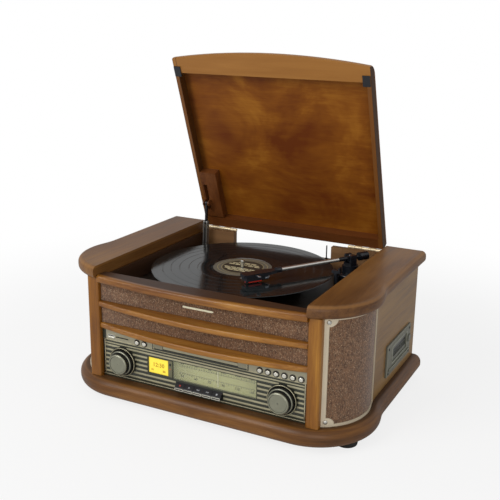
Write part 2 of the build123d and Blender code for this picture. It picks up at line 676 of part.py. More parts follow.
with BuildPart(cabinet) as cd_tray:
    slab(-tray_half, tray_half, fascia_y, fascia_y + tray_front_thickness,
         tray_base, tray_base + tray_height)
    fillet(cd_tray.faces().sort_by(Axis.Y)[0].edges(), 0.8)
    slab(-tray_body_half, tray_body_half, fascia_y + tray_front_thickness, tray_body_back_y,
         tray_body_base, tray_body_base + tray_body_thickness)
    disc_z = tray_body_base + tray_body_thickness
    rod(0, disc_y, disc_z - disc_depth, disc_radius, disc_depth, mode=Mode.SUBTRACT)
    rod(0, disc_y, disc_z - disc_depth - small_disc_depth, small_disc_radius, small_disc_depth,
        mode=Mode.SUBTRACT)
    slab(-spindle_slot_half, spindle_slot_half, disc_y - spindle_slot_half, disc_y + spindle_slot_back,
         tray_body_base, disc_z, Mode.SUBTRACT)
save(cd_tray, "cd_tray")

# ---------------------------------------------------------------------- turntable
deck_thickness = 4.0
deck_half, deck_wall = bay_half - fit, 3.0
deck_front_y, deck_back_y = 16.0, rear_wall_y
platter_x, platter_y = -14.0, 174.0
boss_radius, boss_base, boss_top = 12.0, deck_top - 24.0, deck_top + 2.0
platter_radius, platter_top = 98.0, deck_top + 25.2
platter_disc, platter_skirt, platter_rim = 6.0, 19.0, 4.0
shaft_radius, shaft_base = 5.0, boss_base + 2.0
spindle_radius, spindle_top, spindle_round = 3.575, platter_top + 13.8, 1.5
foot_groove_radius, foot_groove_height = 3.3, 2.1   # round the spindle's foot, inside the record
drive_ring_radius, drive_ring_wall = 55.0, 3.0
record_radius, record_thickness, record_hole, label_radius = 151.0, 1.8, 3.62, 50.0
pulley_reach = 76.0                         # from the platter's centre to the motor's
pulley_x, pulley_y = platter_x - 0.72 * pulley_reach, platter_y + 0.694 * pulley_reach
pulley_radius, pulley_flange, pulley_base, pulley_top = 5.0, 1.2, deck_top + 6.0, deck_top + 17.0
belt_thickness, belt_base, belt_height = 1.2, pulley_base + 3.5, 4.0
motor_radius, motor_height, motor_plate = 16.0, 36.0, 3.0
motor_shaft_radius, pulley_hole_radius = 1.5, 8.0

switch_x, switch_y, switch_travel = bay_half - 19.0, 100.0, 12.0
switch_slot_width, switch_neck, switch_knob_radius, switch_knob_height = 4.0, 3.2, 4.0, 7.0

stay_x = -(bay_half - 18.0)                 # the plane of the lid's elbow stay
stay_cheek_half, stay_cheek = 4.2, 2.2      # the lower link's two cheeks, outside faces at +-half
ear_gap, ear_width = 0.3, 2.5
stay_base_y, stay_base_z = hinge_y - 30.5, deck_top + 6.0
elbow_y, elbow_z = hinge_y - 27.0, hinge_z + 14.9
stay_top_y, stay_top_z = hinge_y - 25.0, hinge_z + 50.9
stay_pin_radius = 1.5
base_ear_radius = 4.5

with BuildPart(cabinet) as turntable_deck:
    slab(-deck_half, deck_half, deck_front_y, deck_back_y, deck_top - deck_thickness, deck_top)
    for x0 in (-deck_half, deck_half - deck_wall):
        slab(x0, x0 + deck_wall, top_rail_back_y, deck_back_y, deck_top, shoulder_base)
    slab(-deck_half, deck_half, deck_front_y, deck_front_y + deck_thickness, deck_top, top_rail_base)
    rod(platter_x, platter_y, boss_base, boss_radius, boss_top - boss_base)
    rod(platter_x, platter_y, boss_base, shaft_radius + pin_play, boss_top - boss_base,
        mode=Mode.SUBTRACT)
    rod(pulley_x, pulley_y, deck_top - deck_thickness, pulley_hole_radius, deck_thickness,
        mode=Mode.SUBTRACT)
    slab(switch_x - switch_slot_width / 2, switch_x + switch_slot_width / 2,
         switch_y - switch_slot_width / 2, switch_y + switch_travel + switch_slot_width / 2,
         deck_top - deck_thickness, deck_top, Mode.SUBTRACT)
    for ear_x in (stay_x - stay_cheek_half - ear_gap - ear_width, stay_x + stay_cheek_half + ear_gap):
        slab(ear_x, ear_x + ear_width, stay_base_y - base_ear_radius, stay_base_y + base_ear_radius,
             deck_top, stay_base_z)
        rod(ear_x, stay_base_y, stay_base_z, base_ear_radius, ear_width, RIGHTWARD)
        rod(ear_x, stay_base_y, stay_base_z, stay_pin_radius + pin_play, ear_width, RIGHTWARD,
            mode=Mode.SUBTRACT)
save(turntable_deck, "turntable_deck")


def belt_loop(extra):
    """The outline round the platter's drive ring and the pulley, drawn out by extra."""
    with BuildSketch() as loop:
        with Locations((platter_x, platter_y)):
            Circle(drive_ring_radius + extra)
        with Locations((pulley_x, pulley_y)):
            Circle(pulley_radius + extra)
        make_hull()
    return loop.sketch


with BuildPart(cabinet) as belt_drive:
    deck_under = deck_top - deck_thickness
    rod(pulley_x, pulley_y, deck_under - motor_plate, motor_radius + 5, motor_plate)
    rod(pulley_x, pulley_y, deck_under - motor_plate - motor_height, motor_radius, motor_height)
    rod(pulley_x, pulley_y, deck_under - motor_plate, motor_shaft_radius,
        pulley_top - deck_under + motor_plate)
    rod(pulley_x, pulley_y, pulley_base, pulley_radius, pulley_top - pulley_base)
    for z0, z1 in ((pulley_base, belt_base - seam), (belt_base + belt_height + seam, pulley_top)):
        rod(pulley_x, pulley_y, z0, pulley_radius + pulley_flange, z1 - z0)
with BuildPart() as belt:
    with BuildSketch(level(belt_base)):
        add(belt_loop(seam + belt_thickness))
        add(belt_loop(seam), mode=Mode.SUBTRACT)
    extrude(amount=belt_height)
with BuildPart() as belt_drive_set:
    add(belt_drive.part)
    add(belt.part)
save(belt_drive_set, "belt_drive")

platter_plane = Plane(origin=(platter_x, front_y + platter_y, 0), x_dir=(1, 0, 0), z_dir=(0, -1, 0))
platter_axis = Axis((platter_x, front_y + platter_y, 0), (0, 0, 1))
with BuildPart() as platter:
    web = platter_top - platter_disc
    hub = 9.0
    turned(
        platter_plane,
        [
            (0, shaft_base), (shaft_radius, shaft_base), (shaft_radius, boss_top + seam),
            (hub, boss_top + seam), (hub, web),
            (drive_ring_radius - drive_ring_wall, web),
            (drive_ring_radius - drive_ring_wall, pulley_base),
            (drive_ring_radius, pulley_base), (drive_ring_radius, web),
            (platter_radius - platter_rim, web),
            (platter_radius - platter_rim, platter_top - platter_skirt),
            (platter_radius, platter_top - platter_skirt), (platter_radius, platter_top - 0.8),
            (platter_radius - 0.8, platter_top), (foot_groove_radius, platter_top),
            (foot_groove_radius, platter_top + foot_groove_height),
            (spindle_radius, platter_top + foot_groove_height),
            (spindle_radius, spindle_top - spindle_round),
            (spindle_radius - spindle_round, spindle_top), (0, spindle_top),
        ],
        platter_axis,
    )
save(platter, "platter")

with BuildPart() as record:
    record_top = platter_top + record_thickness
    bead, dead_wax = 4.0, 56.0
    turned(
        platter_plane,
        [
            (record_hole, platter_top), (record_radius - 0.8, platter_top),
            (record_radius, platter_top + record_thickness / 2), (record_radius - 0.8, record_top),
            (record_radius - bead, record_top - 0.4), (dead_wax, record_top - 0.4),
            (label_radius, record_top), (record_hole, record_top),
        ],
        platter_axis,
    )
save(record, "record")

with BuildPart(cabinet) as speed_switch:
    rod(switch_x, switch_y, deck_top - deck_thickness - 3, switch_neck / 2, deck_thickness + 4)
    rod(switch_x, switch_y, deck_top + seam, switch_knob_radius, switch_knob_height)
    fillet(speed_switch.edges().sort_by(Axis.Z)[-1], 1.2)
    rod(switch_x, switch_y, deck_top - deck_thickness - 3, switch_knob_radius, 3 - seam)
save(speed_switch, "speed_switch")

# ---------------------------------------------------------------------- tonearm
arm_x, arm_y, arm_z = platter_x + 154.0, platter_y + 94.0, platter_top + 15.8
arm_angle = radians(237.2)                  # the way the arm points, in plan, from +x
base_radius, base_height = 24.0, 16.0
tower_radius, tower_top = 13.5, arm_z - 12.3
gimbal_shaft_radius, gimbal_shaft_base = 4.0, arm_z - 23.5
yoke_inner, yoke_wall, yoke_half, yoke_bridge = 5.4, 4.0, 6.0, 4.0
yoke_base = tower_top + seam
pivot_pin_radius = 1.2
pivot_half, pivot_half_width, pivot_half_height = 8.0, 5.0, 4.0
tube_radius, tube_end, collar_end = 3.2, 137.0, 26.0
weight_start, weight_end, weight_radius = 17.0, 34.0, 7.0
shell_end, shell_half = 208.0, 9.0
rest_x, rest_y, rest_top = arm_x, arm_y - 63.0, arm_z - 4.0
rest_radius, rest_half, rest_prong = 4.0, 7.0, 2.6
cue_x, cue_y, cue_z = arm_x + 25.0, arm_y - 34.0, deck_top + 13.0
cue_eye, cue_thickness, cue_length, cue_rise = 3.6, 3.0, 20.0, radians(25)
cue_rod_radius, cue_tip_radius, cue_tip_length = 1.1, 2.4, 6.0

arm_plane = Plane(
    origin=(arm_x, front_y + arm_y, arm_z),
    x_dir=(cos(arm_angle), sin(arm_angle), 0),
    z_dir=(0, 0, 1),
)

with BuildPart(cabinet) as arm_base:
    rod(arm_x, arm_y, deck_top, base_radius, base_height)
    fillet(arm_base.edges().sort_by(Axis.Z)[-1], 3)
    rod(arm_x, arm_y, deck_top + base_height, tower_radius, tower_top - deck_top - base_height)
    rod(arm_x, arm_y, gimbal_shaft_base - 0.5, gimbal_shaft_radius + pin_play,
        tower_top - gimbal_shaft_base + 0.5, mode=Mode.SUBTRACT)
    rod(rest_x, rest_y, deck_top, rest_radius, rest_top - 5 - deck_top)
    slab(rest_x - rest_half, rest_x + rest_half, rest_y - rest_radius, rest_y + rest_radius,
         rest_top - 5, rest_top)
    slab(rest_x + rest_half - rest_prong, rest_x + rest_half, rest_y - rest_radius,
         rest_y + rest_radius, rest_top, rest_top + 5)
    cue_ear = cue_thickness / 2 + seam
    for ear_x in (cue_x - cue_ear - ear_width, cue_x + cue_ear):
        slab(ear_x, ear_x + ear_width, cue_y - cue_eye, cue_y + cue_eye, deck_top, cue_z)
        rod(ear_x, cue_y, cue_z, cue_eye, ear_width, RIGHTWARD)
        rod(ear_x, cue_y, cue_z, pivot_pin_radius + pin_play, ear_width, RIGHTWARD, mode=Mode.SUBTRACT)
save(arm_base, "arm_base")

with BuildPart(cabinet) as cue_lever:
    rod(cue_x - cue_thickness / 2, cue_y, cue_z, cue_eye, cue_thickness, RIGHTWARD)
    rod(cue_x - cue_ear - ear_width, cue_y, cue_z, pivot_pin_radius,
        2 * (cue_ear + ear_width), RIGHTWARD)
    lever_turn = (90 - degrees(cue_rise), 0, 0)
    rod(cue_x, cue_y, cue_z, cue_rod_radius, cue_length, lever_turn)
    tip_y, tip_z = cue_y - cue_length * cos(cue_rise), cue_z + cue_length * sin(cue_rise)
    rod(cue_x, tip_y, tip_z, cue_tip_radius, cue_tip_length, lever_turn)
save(cue_lever, "cue_lever")

with BuildPart(arm_plane) as arm_gimbal:
    bridge_z = yoke_base - arm_z
    yoke_outer = yoke_inner + yoke_wall
    slab(-yoke_half, yoke_half, -yoke_outer, yoke_outer, bridge_z, bridge_z + yoke_bridge)
    for y0 in (-yoke_outer, yoke_inner):
        slab(-yoke_half, yoke_half, y0, y0 + yoke_wall, bridge_z + yoke_bridge, yoke_half)
    rod(0, yoke_outer, 0, pivot_pin_radius + pin_play, 2 * yoke_outer, FORWARD, Mode.SUBTRACT)
    rod(0, 0, gimbal_shaft_base - arm_z, gimbal_shaft_radius, yoke_base - gimbal_shaft_base)
save(arm_gimbal, "arm_gimbal")

with BuildPart(arm_plane) as tonearm:
    slab(-pivot_half, pivot_half, -pivot_half_width, pivot_half_width,
         -pivot_half_height, pivot_half_height)
    rod(0, yoke_outer - 0.4, 0, pivot_pin_radius, 2 * (yoke_outer - 0.4), FORWARD)
    with Locations(Location((pivot_half, 0, 0), RIGHTWARD)):
        Cone(pivot_half_height, tube_radius, collar_end - pivot_half, align=ON_END)
    rod(collar_end, 0, 0, tube_radius, tube_end - collar_end, RIGHTWARD)
    rod(-weight_end, 0, 0, tube_radius, weight_end - pivot_half, RIGHTWARD)
    rod(-weight_end, 0, 0, weight_radius, weight_end - weight_start, RIGHTWARD)
save(tonearm, "tonearm")

shell_top, shell_under, cartridge_under, stylus_under, stylus_tip = 2.0, -3.0, -9.0, -12.4, -13.7
stylus_x = 201.5
with BuildPart(arm_plane) as headshell:
    collar_length = 10.0
    rod(tube_end, 0, 0, 4.4, collar_length, RIGHTWARD)
    with BuildSketch(arm_plane.offset(shell_under)):
        with BuildLine():
            Polyline(
                (tube_end + collar_length - 2, -4.0), (tube_end + 24, -shell_half),
                (shell_end - 3, -shell_half), (shell_end, -shell_half + 3),
                (shell_end, shell_half - 3), (shell_end - 3, shell_half),
                (tube_end + 24, shell_half), (tube_end + collar_length - 2, 4.0), close=True,
            )
        make_face()
    extrude(amount=shell_top - shell_under)
    slab(tube_end + 28, shell_end - 4, -shell_half + 1, shell_half - 1, cartridge_under, shell_under)
    slab(stylus_x - 23, stylus_x + 1, -2.6, 2.6, stylus_under, cartridge_under)
    with Locations(Location((stylus_x, 0, stylus_tip))):
        Cone(0.3, 1.2, stylus_under - stylus_tip, align=ON_END)
    slab(shell_end - 22, shell_end - 18, shell_half, shell_half + 12, -1, 0.4)
save(headshell, "headshell")

# ---------------------------------------------------------------------- cassette deck
slot_y0, slot_length, slot_depth = deck_bezel_y + 32.0, 66.0, 102.0
slot_base, slot_height = deck_bezel_base + 24.0, 14.0
slot_y1, slot_top = slot_y0 + slot_length, slot_base + slot_height
mech_wall = 3.0
mech_y0 = deck_bezel_y + deck_bezel_lip + 1
mech_y1 = deck_bezel_y + deck_bezel_length - deck_bezel_lip - 1
mech_z0 = deck_bezel_base + deck_bezel_lip + 1
mech_z1 = deck_bezel_base + deck_bezel_height - deck_bezel_lip - 1
bezel_face_x = wall_outer_x + deck_bezel_thickness
mech_inner_x = bezel_face_x - slot_depth - mech_wall
recess_depth, recess_margin = 1.2, 6.0
flap_thickness, flap_pin_radius = 1.5, 0.75
flap_x = bezel_face_x - recess_depth - 1.2       # the flap's front face, and near it its pin
flap_pin_x, flap_pin_z = flap_x - flap_thickness / 2, slot_top - 1.2
eject_y0, eject_length = deck_bezel_y + 106.0, 11.0
eject_base, eject_height = slot_base + 1.0, 10.0
eject_proud, eject_travel, eject_reach = 2.5, 3.0, 10.0
ledge_z, ledge_height, ledge_proud, ledge_inset = deck_bezel_base + 8.5, 3.0, 1.5, 8.0
with BuildPart(cabinet) as cassette_deck:
    slab(mech_inner_x, wall_outer_x, mech_y0, mech_y1, mech_z0, mech_z1)
    slab(wall_outer_x, bezel_face_x, deck_bezel_y, deck_bezel_y + deck_bezel_length,
         deck_bezel_base, deck_bezel_base + deck_bezel_height)
    bezel_edges = cassette_deck.faces().sort_by(Axis.X)[-1].edges()
    fillet(bezel_edges, 1.2)
    slab(bezel_face_x - recess_depth, bezel_face_x + 1, slot_y0 - recess_margin, slot_y1 + 2,
         slot_base - recess_margin, slot_top + recess_margin, Mode.SUBTRACT)
    slab(mech_inner_x + mech_wall, bezel_face_x + 1, slot_y0, slot_y1, slot_base, slot_top, Mode.SUBTRACT)
    with Locations(Location((flap_pin_x, slot_y1 + 1.5, flap_pin_z), FORWARD)):
        Cylinder(flap_pin_radius + pin_play, slot_length + 3, align=ON_END, mode=Mode.SUBTRACT)
    slab(bezel_face_x, bezel_face_x + ledge_proud, deck_bezel_y + ledge_inset,
         deck_bezel_y + deck_bezel_length - ledge_inset, ledge_z, ledge_z + ledge_height)
    slab(wall_outer_x - eject_reach - eject_travel - 1, bezel_face_x + 1,
         eject_y0 - seam, eject_y0 + eject_length + seam,
         eject_base - seam, eject_base + eject_height + seam, Mode.SUBTRACT)
save(cassette_deck, "cassette_deck")

with BuildPart(cabinet) as cassette_flap:
    slab(flap_x - flap_thickness, flap_x, slot_y0 + seam, slot_y1 - seam, slot_base + seam, flap_pin_z)
    with Locations(Location((flap_pin_x, slot_y1 + 1.2, flap_pin_z), FORWARD)):
        Cylinder(flap_pin_radius, slot_length + 2.4, align=ON_END)
save(cassette_flap, "cassette_flap")

with BuildPart(cabinet) as eject_button:
    slab(wall_outer_x - eject_reach, bezel_face_x + eject_proud, eject_y0, eject_y0 + eject_length,
         eject_base, eject_base + eject_height)
    fillet(eject_button.faces().sort_by(Axis.X)[-1].edges(), 0.8)
save(eject_button, "eject_button")

# ---------------------------------------------------------------------- amplifier
board_z, board_thickness = plinth_top + 18.0, 1.6
board_x0, board_x1, board_depth = -150.0, 60.0, 100.0
board_y0 = rear_wall_y - 115.0
board_y1 = board_y0 + board_depth
board_post_radius, board_post_inset = 3.5, 8.0
core_x0, core_x1, core_y0, core_y1, core_height = -135.0, -85.0, board_y0 + 30, board_y0 + 70, 30.0
coil_margin, coil_overhang, coil_height = 8.0, 10.0, 40.0
sink_x0, sink_y0, sink_length, sink_floor = 0.0, board_y0 + 35, 50.0, 4.0
fin_count, fin_pitch, fin_thickness, fin_height = 8, 6.0, 2.0, 26.0
capacitor_places = ((-60.0, board_y0 + 35), (-60.0, board_y0 + 60), (-35.0, board_y0 + 47))
capacitor_radius, capacitor_height = 9.0, 30.0
with BuildPart(cabinet) as amplifier_board:
    slab(board_x0, board_x1, board_y0, board_y1, board_z, board_z + board_thickness)
    for x in (board_x0 + board_post_inset, board_x1 - board_post_inset):
        for y in (board_y0 + board_post_inset, board_y1 - board_post_inset):
            rod(x, y, plinth_top, board_post_radius, board_z - plinth_top)
    top = board_z + board_thickness
    slab(core_x0, core_x1, core_y0, core_y1, top, top + core_height)
    slab(core_x0 + coil_margin, core_x1 - coil_margin, core_y0 - coil_overhang,
         core_y1 + coil_overhang, top, top + coil_height)
    sink_x1 = sink_x0 + (fin_count - 1) * fin_pitch + fin_thickness
    slab(sink_x0, sink_x1, sink_y0, sink_y0 + sink_length, top, top + sink_floor)
    for fin in range(fin_count):
        fin_x = sink_x0 + fin_pitch * fin
        slab(fin_x, fin_x + fin_thickness, sink_y0, sink_y0 + sink_length, top, top + fin_height)
    for x, y in capacitor_places:
        rod(x, y, top, capacitor_radius, capacitor_height)
save(amplifier_board, "amplifier_board")

# ---------------------------------------------------------------------- lid
lid_half = bay_half - lid_side_gap
lid_setback = 0.5
lid_corner_s = hinge_y - top_rail_end_y - lid_setback
lid_middle_s = hinge_y - rail_bow_y - lid_setback
rim_width, rear_rim_s, front_rail_width = 7.0, 22.0, 26.0
front_rail_s = lid_corner_s - front_rail_width
rim_inner = lid_half - rim_width
lid_front_round, lid_side_round = lid_thickness - 1.0, 3.0
pad_edge, pad_width, pad_s0, pad_s1, pad_proud = 1.0, 12.0, front_rail_s - 6.0, front_rail_s + 11.6, 2.0
pad_x = lid_half - pad_edge - pad_width


def lid_outline(start_s):
    """The lid's outline from start_s to its bowed front edge."""
    with BuildSketch() as outline:
        with BuildLine():
            Polyline(
                (-lid_half, lid_corner_s), (-lid_half, start_s), (lid_half, start_s),
                (lid_half, lid_corner_s),
            )
            ThreePointArc((lid_half, lid_corner_s), (0, lid_middle_s), (-lid_half, lid_corner_s))
        make_face()
    return outline.sketch


# The whole lid as one block, with the outside of its bowed front rounded right over.
with BuildPart(lid) as lid_block:
    with BuildSketch(lid.offset(lid_top_d)):
        add(lid_outline(lid_rear_s))
    extrude(amount=lid_thickness)
    outer_face = lid_block.faces().sort_by(Axis((0, 0, 0), tuple(lid.z_dir)))[0]
    fillet(outer_face.edges().filter_by(GeomType.CIRCLE), lid_front_round)
    outer_face = lid_block.faces().sort_by(Axis((0, 0, 0), tuple(lid.z_dir)))[0]
    fillet(outer_face.edges().filter_by(GeomType.LINE), lid_side_round)

lid_reach = 2 * lid_middle_s
with BuildPart(lid) as panel_layer:
    slab(-lid_half, lid_half, 0, lid_reach, lid_top_d, panel_d)
with BuildPart() as lid_panel:
    add(lid_block.part)
    add(panel_layer.part, mode=Mode.INTERSECT)
save(lid_panel, "lid_panel")

with BuildPart(lid) as rail_layer:
    slab(-lid_half, lid_half, front_rail_s, lid_reach, panel_d, underside_d)
with BuildPart() as lid_front_rail:
    add(lid_block.part)
    add(rail_layer.part, mode=Mode.INTERSECT)
with BuildPart(lid) as lid_rims:
    for x0 in (-lid_half, rim_inner):
        slab(x0, x0 + rim_width, lid_rear_s, front_rail_s - fit / 2, panel_d, underside_d)
with BuildPart(lid) as lid_rear_rim:
    slab(-rim_inner + fit / 2, rim_inner - fit / 2, lid_rear_s, rear_rim_s, panel_d, underside_d)
with BuildPart() as lid_frame:
    add(lid_front_rail.part)
    add(lid_rims.part)
    add(lid_rear_rim.part)
save(lid_frame, "lid_frame")

# The stay's top end runs in the groove of this block as the lid is shut.
stay_block_x1, stay_block_s0, stay_block_s1 = stay_x + 26.0, rear_rim_s + 2.0, 118.0
groove_half, groove_s0, groove_s1, groove_depth = 3.5, 38.0, 92.0, 9.5
ear_reach, ear_half = 10.0, 5.0
top_s = (hinge_y - stay_top_y) * cos(lid_open) + (stay_top_z - hinge_z) * sin(lid_open)
top_d = (hinge_y - stay_top_y) * sin(lid_open) - (stay_top_z - hinge_z) * cos(lid_open)
with BuildPart(lid) as stay_block:
    slab(-rim_inner, stay_block_x1, stay_block_s0, stay_block_s1, panel_d, underside_d)
    slab(stay_x - groove_half, stay_x + groove_half, groove_s0, groove_s1,
         underside_d - groove_depth, underside_d, Mode.SUBTRACT)
    for x0 in (stay_x - groove_half - ear_width, stay_x + groove_half):
        slab(x0, x0 + ear_width, top_s - ear_half, top_s + ear_half, underside_d, top_d)
        rod(x0, top_s, top_d, ear_half, ear_width, RIGHTWARD)
        rod(x0, top_s, top_d, stay_pin_radius + pin_play, ear_width, RIGHTWARD, mode=Mode.SUBTRACT)
save(stay_block, "stay_block")

with BuildPart(lid) as lid_pads:
    for x0 in (-pad_x - pad_width, pad_x):
        slab(x0, x0 + pad_width, pad_s0, pad_s1, underside_d, underside_d + pad_proud)
save(lid_pads, "lid_pads")

# ---------------------------------------------------------------------- hinges
hinge_x, hinge_length, knuckle_radius, hinge_pin_radius = bay_half - 36.5, 64.0, 2.6, 1.2
knuckle_pitch = hinge_length / 5
leaf_height, leaf_clear = 16.0, knuckle_radius + 0.4
with BuildPart(cabinet) as wall_hinge_leaves:
    for centre in (-hinge_x, hinge_x):
        x0 = centre - hinge_length / 2
        leaf_y = rear_wall_back_y
        slab(x0, x0 + hinge_length, leaf_y, leaf_y + leaf_thickness, hinge_z - leaf_height,
             hinge_z - leaf_clear)
        for knuckle in (0, 2, 4):
            start_x = x0 + knuckle * knuckle_pitch + seam
            length = knuckle_pitch - 2 * seam
            slab(start_x, start_x + length, leaf_y, leaf_y + leaf_thickness, hinge_z - leaf_clear,
                 hinge_z)
            rod(start_x, hinge_y, hinge_z, knuckle_radius, length, RIGHTWARD)
        rod(x0, hinge_y, hinge_z, hinge_pin_radius, hinge_length, RIGHTWARD)
save(wall_hinge_leaves, "wall_hinge_leaves")

with BuildPart(lid) as lid_hinge_leaves:
    for centre in (-hinge_x, hinge_x):
        x0 = centre - hinge_length / 2
        leaf_s = lid_rear_s - leaf_thickness
        slab(x0, x0 + hinge_length, leaf_s, lid_rear_s, -leaf_height, -leaf_clear)
        for knuckle in (1, 3):
            start_x = x0 + knuckle * knuckle_pitch
            slab(start_x, start_x + knuckle_pitch, leaf_s, lid_rear_s, -leaf_clear, 0)
            rod(start_x, 0, 0, knuckle_radius, knuckle_pitch, RIGHTWARD)
            rod(start_x, 0, 0, hinge_pin_radius + pin_play, knuckle_pitch, RIGHTWARD,
                mode=Mode.SUBTRACT)
save(lid_hinge_leaves, "lid_hinge_leaves")

# ---------------------------------------------------------------------- elbow stay
lower_length = hypot(elbow_y - stay_base_y, elbow_z - stay_base_z)
upper_length = hypot(stay_top_y - elbow_y, stay_top_z - elbow_z)
lower_plane = Plane(
    origin=(stay_x, front_y + stay_base_y, stay_base_z),
    x_dir=(1, 0, 0),
    z_dir=(0, (elbow_y - stay_base_y) / lower_length, (elbow_z - stay_base_z) / lower_length),
)
upper_plane = Plane(
    origin=(stay_x, front_y + elbow_y, elbow_z),
    x_dir=(1, 0, 0),
    z_dir=(0, (stay_top_y - elbow_y) / upper_length, (stay_top_z - elbow_z) / upper_length),
)
link_radius, upper_thickness, upper_half = 4.0, 3.0, 3.0
cheek_inner = stay_cheek_half - stay_cheek
with BuildPart(lower_plane) as stay_lower_link:
    for x0 in (-stay_cheek_half, cheek_inner):
        slab(x0, x0 + stay_cheek, -link_radius, link_radius, 0, lower_length)
        for z in (0, lower_length):
            rod(x0, 0, z, link_radius, stay_cheek, RIGHTWARD)
    slab(-cheek_inner, cheek_inner, link_radius - 1.6, link_radius, 6, lower_length - 12)
    rod(-stay_cheek_half - ear_gap - ear_width, 0, 0, stay_pin_radius,
        2 * (stay_cheek_half + ear_gap + ear_width), RIGHTWARD)
    rod(-stay_cheek_half, 0, lower_length, stay_pin_radius, 2 * stay_cheek_half, RIGHTWARD)
save(stay_lower_link, "stay_lower_link")

with BuildPart(upper_plane) as stay_upper_link:
    slab(-upper_thickness / 2, upper_thickness / 2, -upper_half, upper_half, 0, upper_length)
    for z in (0, upper_length):
        rod(-upper_thickness / 2, 0, z, link_radius - 0.3, upper_thickness, RIGHTWARD)
        rod(-upper_thickness / 2, 0, z, stay_pin_radius + pin_play, upper_thickness, RIGHTWARD,
            mode=Mode.SUBTRACT)
save(stay_upper_link, "stay_upper_link")
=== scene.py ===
from math import asin, atan2, cos, degrees, pi, radians, sin, sqrt

import bpy
from mathutils import Matrix, Vector


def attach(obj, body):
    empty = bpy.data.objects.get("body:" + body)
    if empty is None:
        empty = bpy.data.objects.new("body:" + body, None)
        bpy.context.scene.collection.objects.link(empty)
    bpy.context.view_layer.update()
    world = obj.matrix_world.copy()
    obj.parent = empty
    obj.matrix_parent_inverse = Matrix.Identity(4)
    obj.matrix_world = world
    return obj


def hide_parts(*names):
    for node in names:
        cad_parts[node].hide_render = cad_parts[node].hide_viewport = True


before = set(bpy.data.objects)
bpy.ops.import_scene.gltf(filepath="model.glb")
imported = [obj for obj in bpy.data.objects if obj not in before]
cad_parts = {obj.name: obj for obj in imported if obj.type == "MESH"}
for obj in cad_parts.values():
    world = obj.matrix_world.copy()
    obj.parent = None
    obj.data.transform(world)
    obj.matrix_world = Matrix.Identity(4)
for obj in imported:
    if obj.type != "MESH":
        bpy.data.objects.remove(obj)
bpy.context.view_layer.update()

# ---- camera and studio
# One camera a good metre off, to the right of the set and above it, in a pale room: a white
# floor that runs out of sight, a broad soft lamp on the left and a weaker one on the right.
FRONT_Y = -0.1688157                    # the posts' front face; depths below are counted from it


def take(*pieces):
    """Selects these pieces and no others, the first as the active one."""
    bpy.ops.object.select_all(action="DESELECT")
    for piece in reversed(pieces):
        piece.select_set(True)
        bpy.context.view_layer.objects.active = piece


def place(x, y, z):
    """A point given in millimetres: right of the middle, behind the posts' front, above the floor."""
    return Vector((x / 1000, y / 1000 + FRONT_Y, z / 1000))


take()
scene = bpy.context.scene
turn, tilt, roll = radians(26.94), radians(16.22), radians(0.78)
back = Vector((sin(turn) * cos(tilt), -cos(turn) * cos(tilt), sin(tilt)))
level_right = Vector((cos(turn), sin(turn), 0))
level_up = back.cross(level_right)
right = level_right * cos(roll) + level_up * sin(roll)
up = level_up * cos(roll) - level_right * sin(roll)
camera_data = bpy.data.cameras.new("camera")
camera_data.sensor_width = 36.0
camera_data.lens = 59.67
camera = bpy.data.objects.new("camera", camera_data)
scene.collection.objects.link(camera)
LOOKED_AT, CAMERA_DISTANCE = place(11.52, 150.0, 239.87), 1.33112
turned_to_set = Matrix((right, up, back)).transposed().to_4x4()
camera.matrix_world = Matrix.Translation(LOOKED_AT + back * CAMERA_DISTANCE) @ turned_to_set
scene.camera = camera
scene.view_settings.view_transform = "Standard"


def paint(colour):
    """A colour as a colour card gives it, three numbers up to 255, turned into light."""
    parts = [c / 255 for c in colour]
    return (*[c / 12.92 if c < 0.04045 else ((c + 0.055) / 1.055) ** 2.4 for c in parts], 1.0)


def put(socket, value):
    """Links a socket to another node's output, or sets it to a plain value or a card's colour."""
    if isinstance(value, Value):
        socket.id_data.links.new(value.socket, socket)
    elif socket.type == "RGBA" and len(value) == 3:
        socket.default_value = paint(value)
    else:
        socket.default_value = value


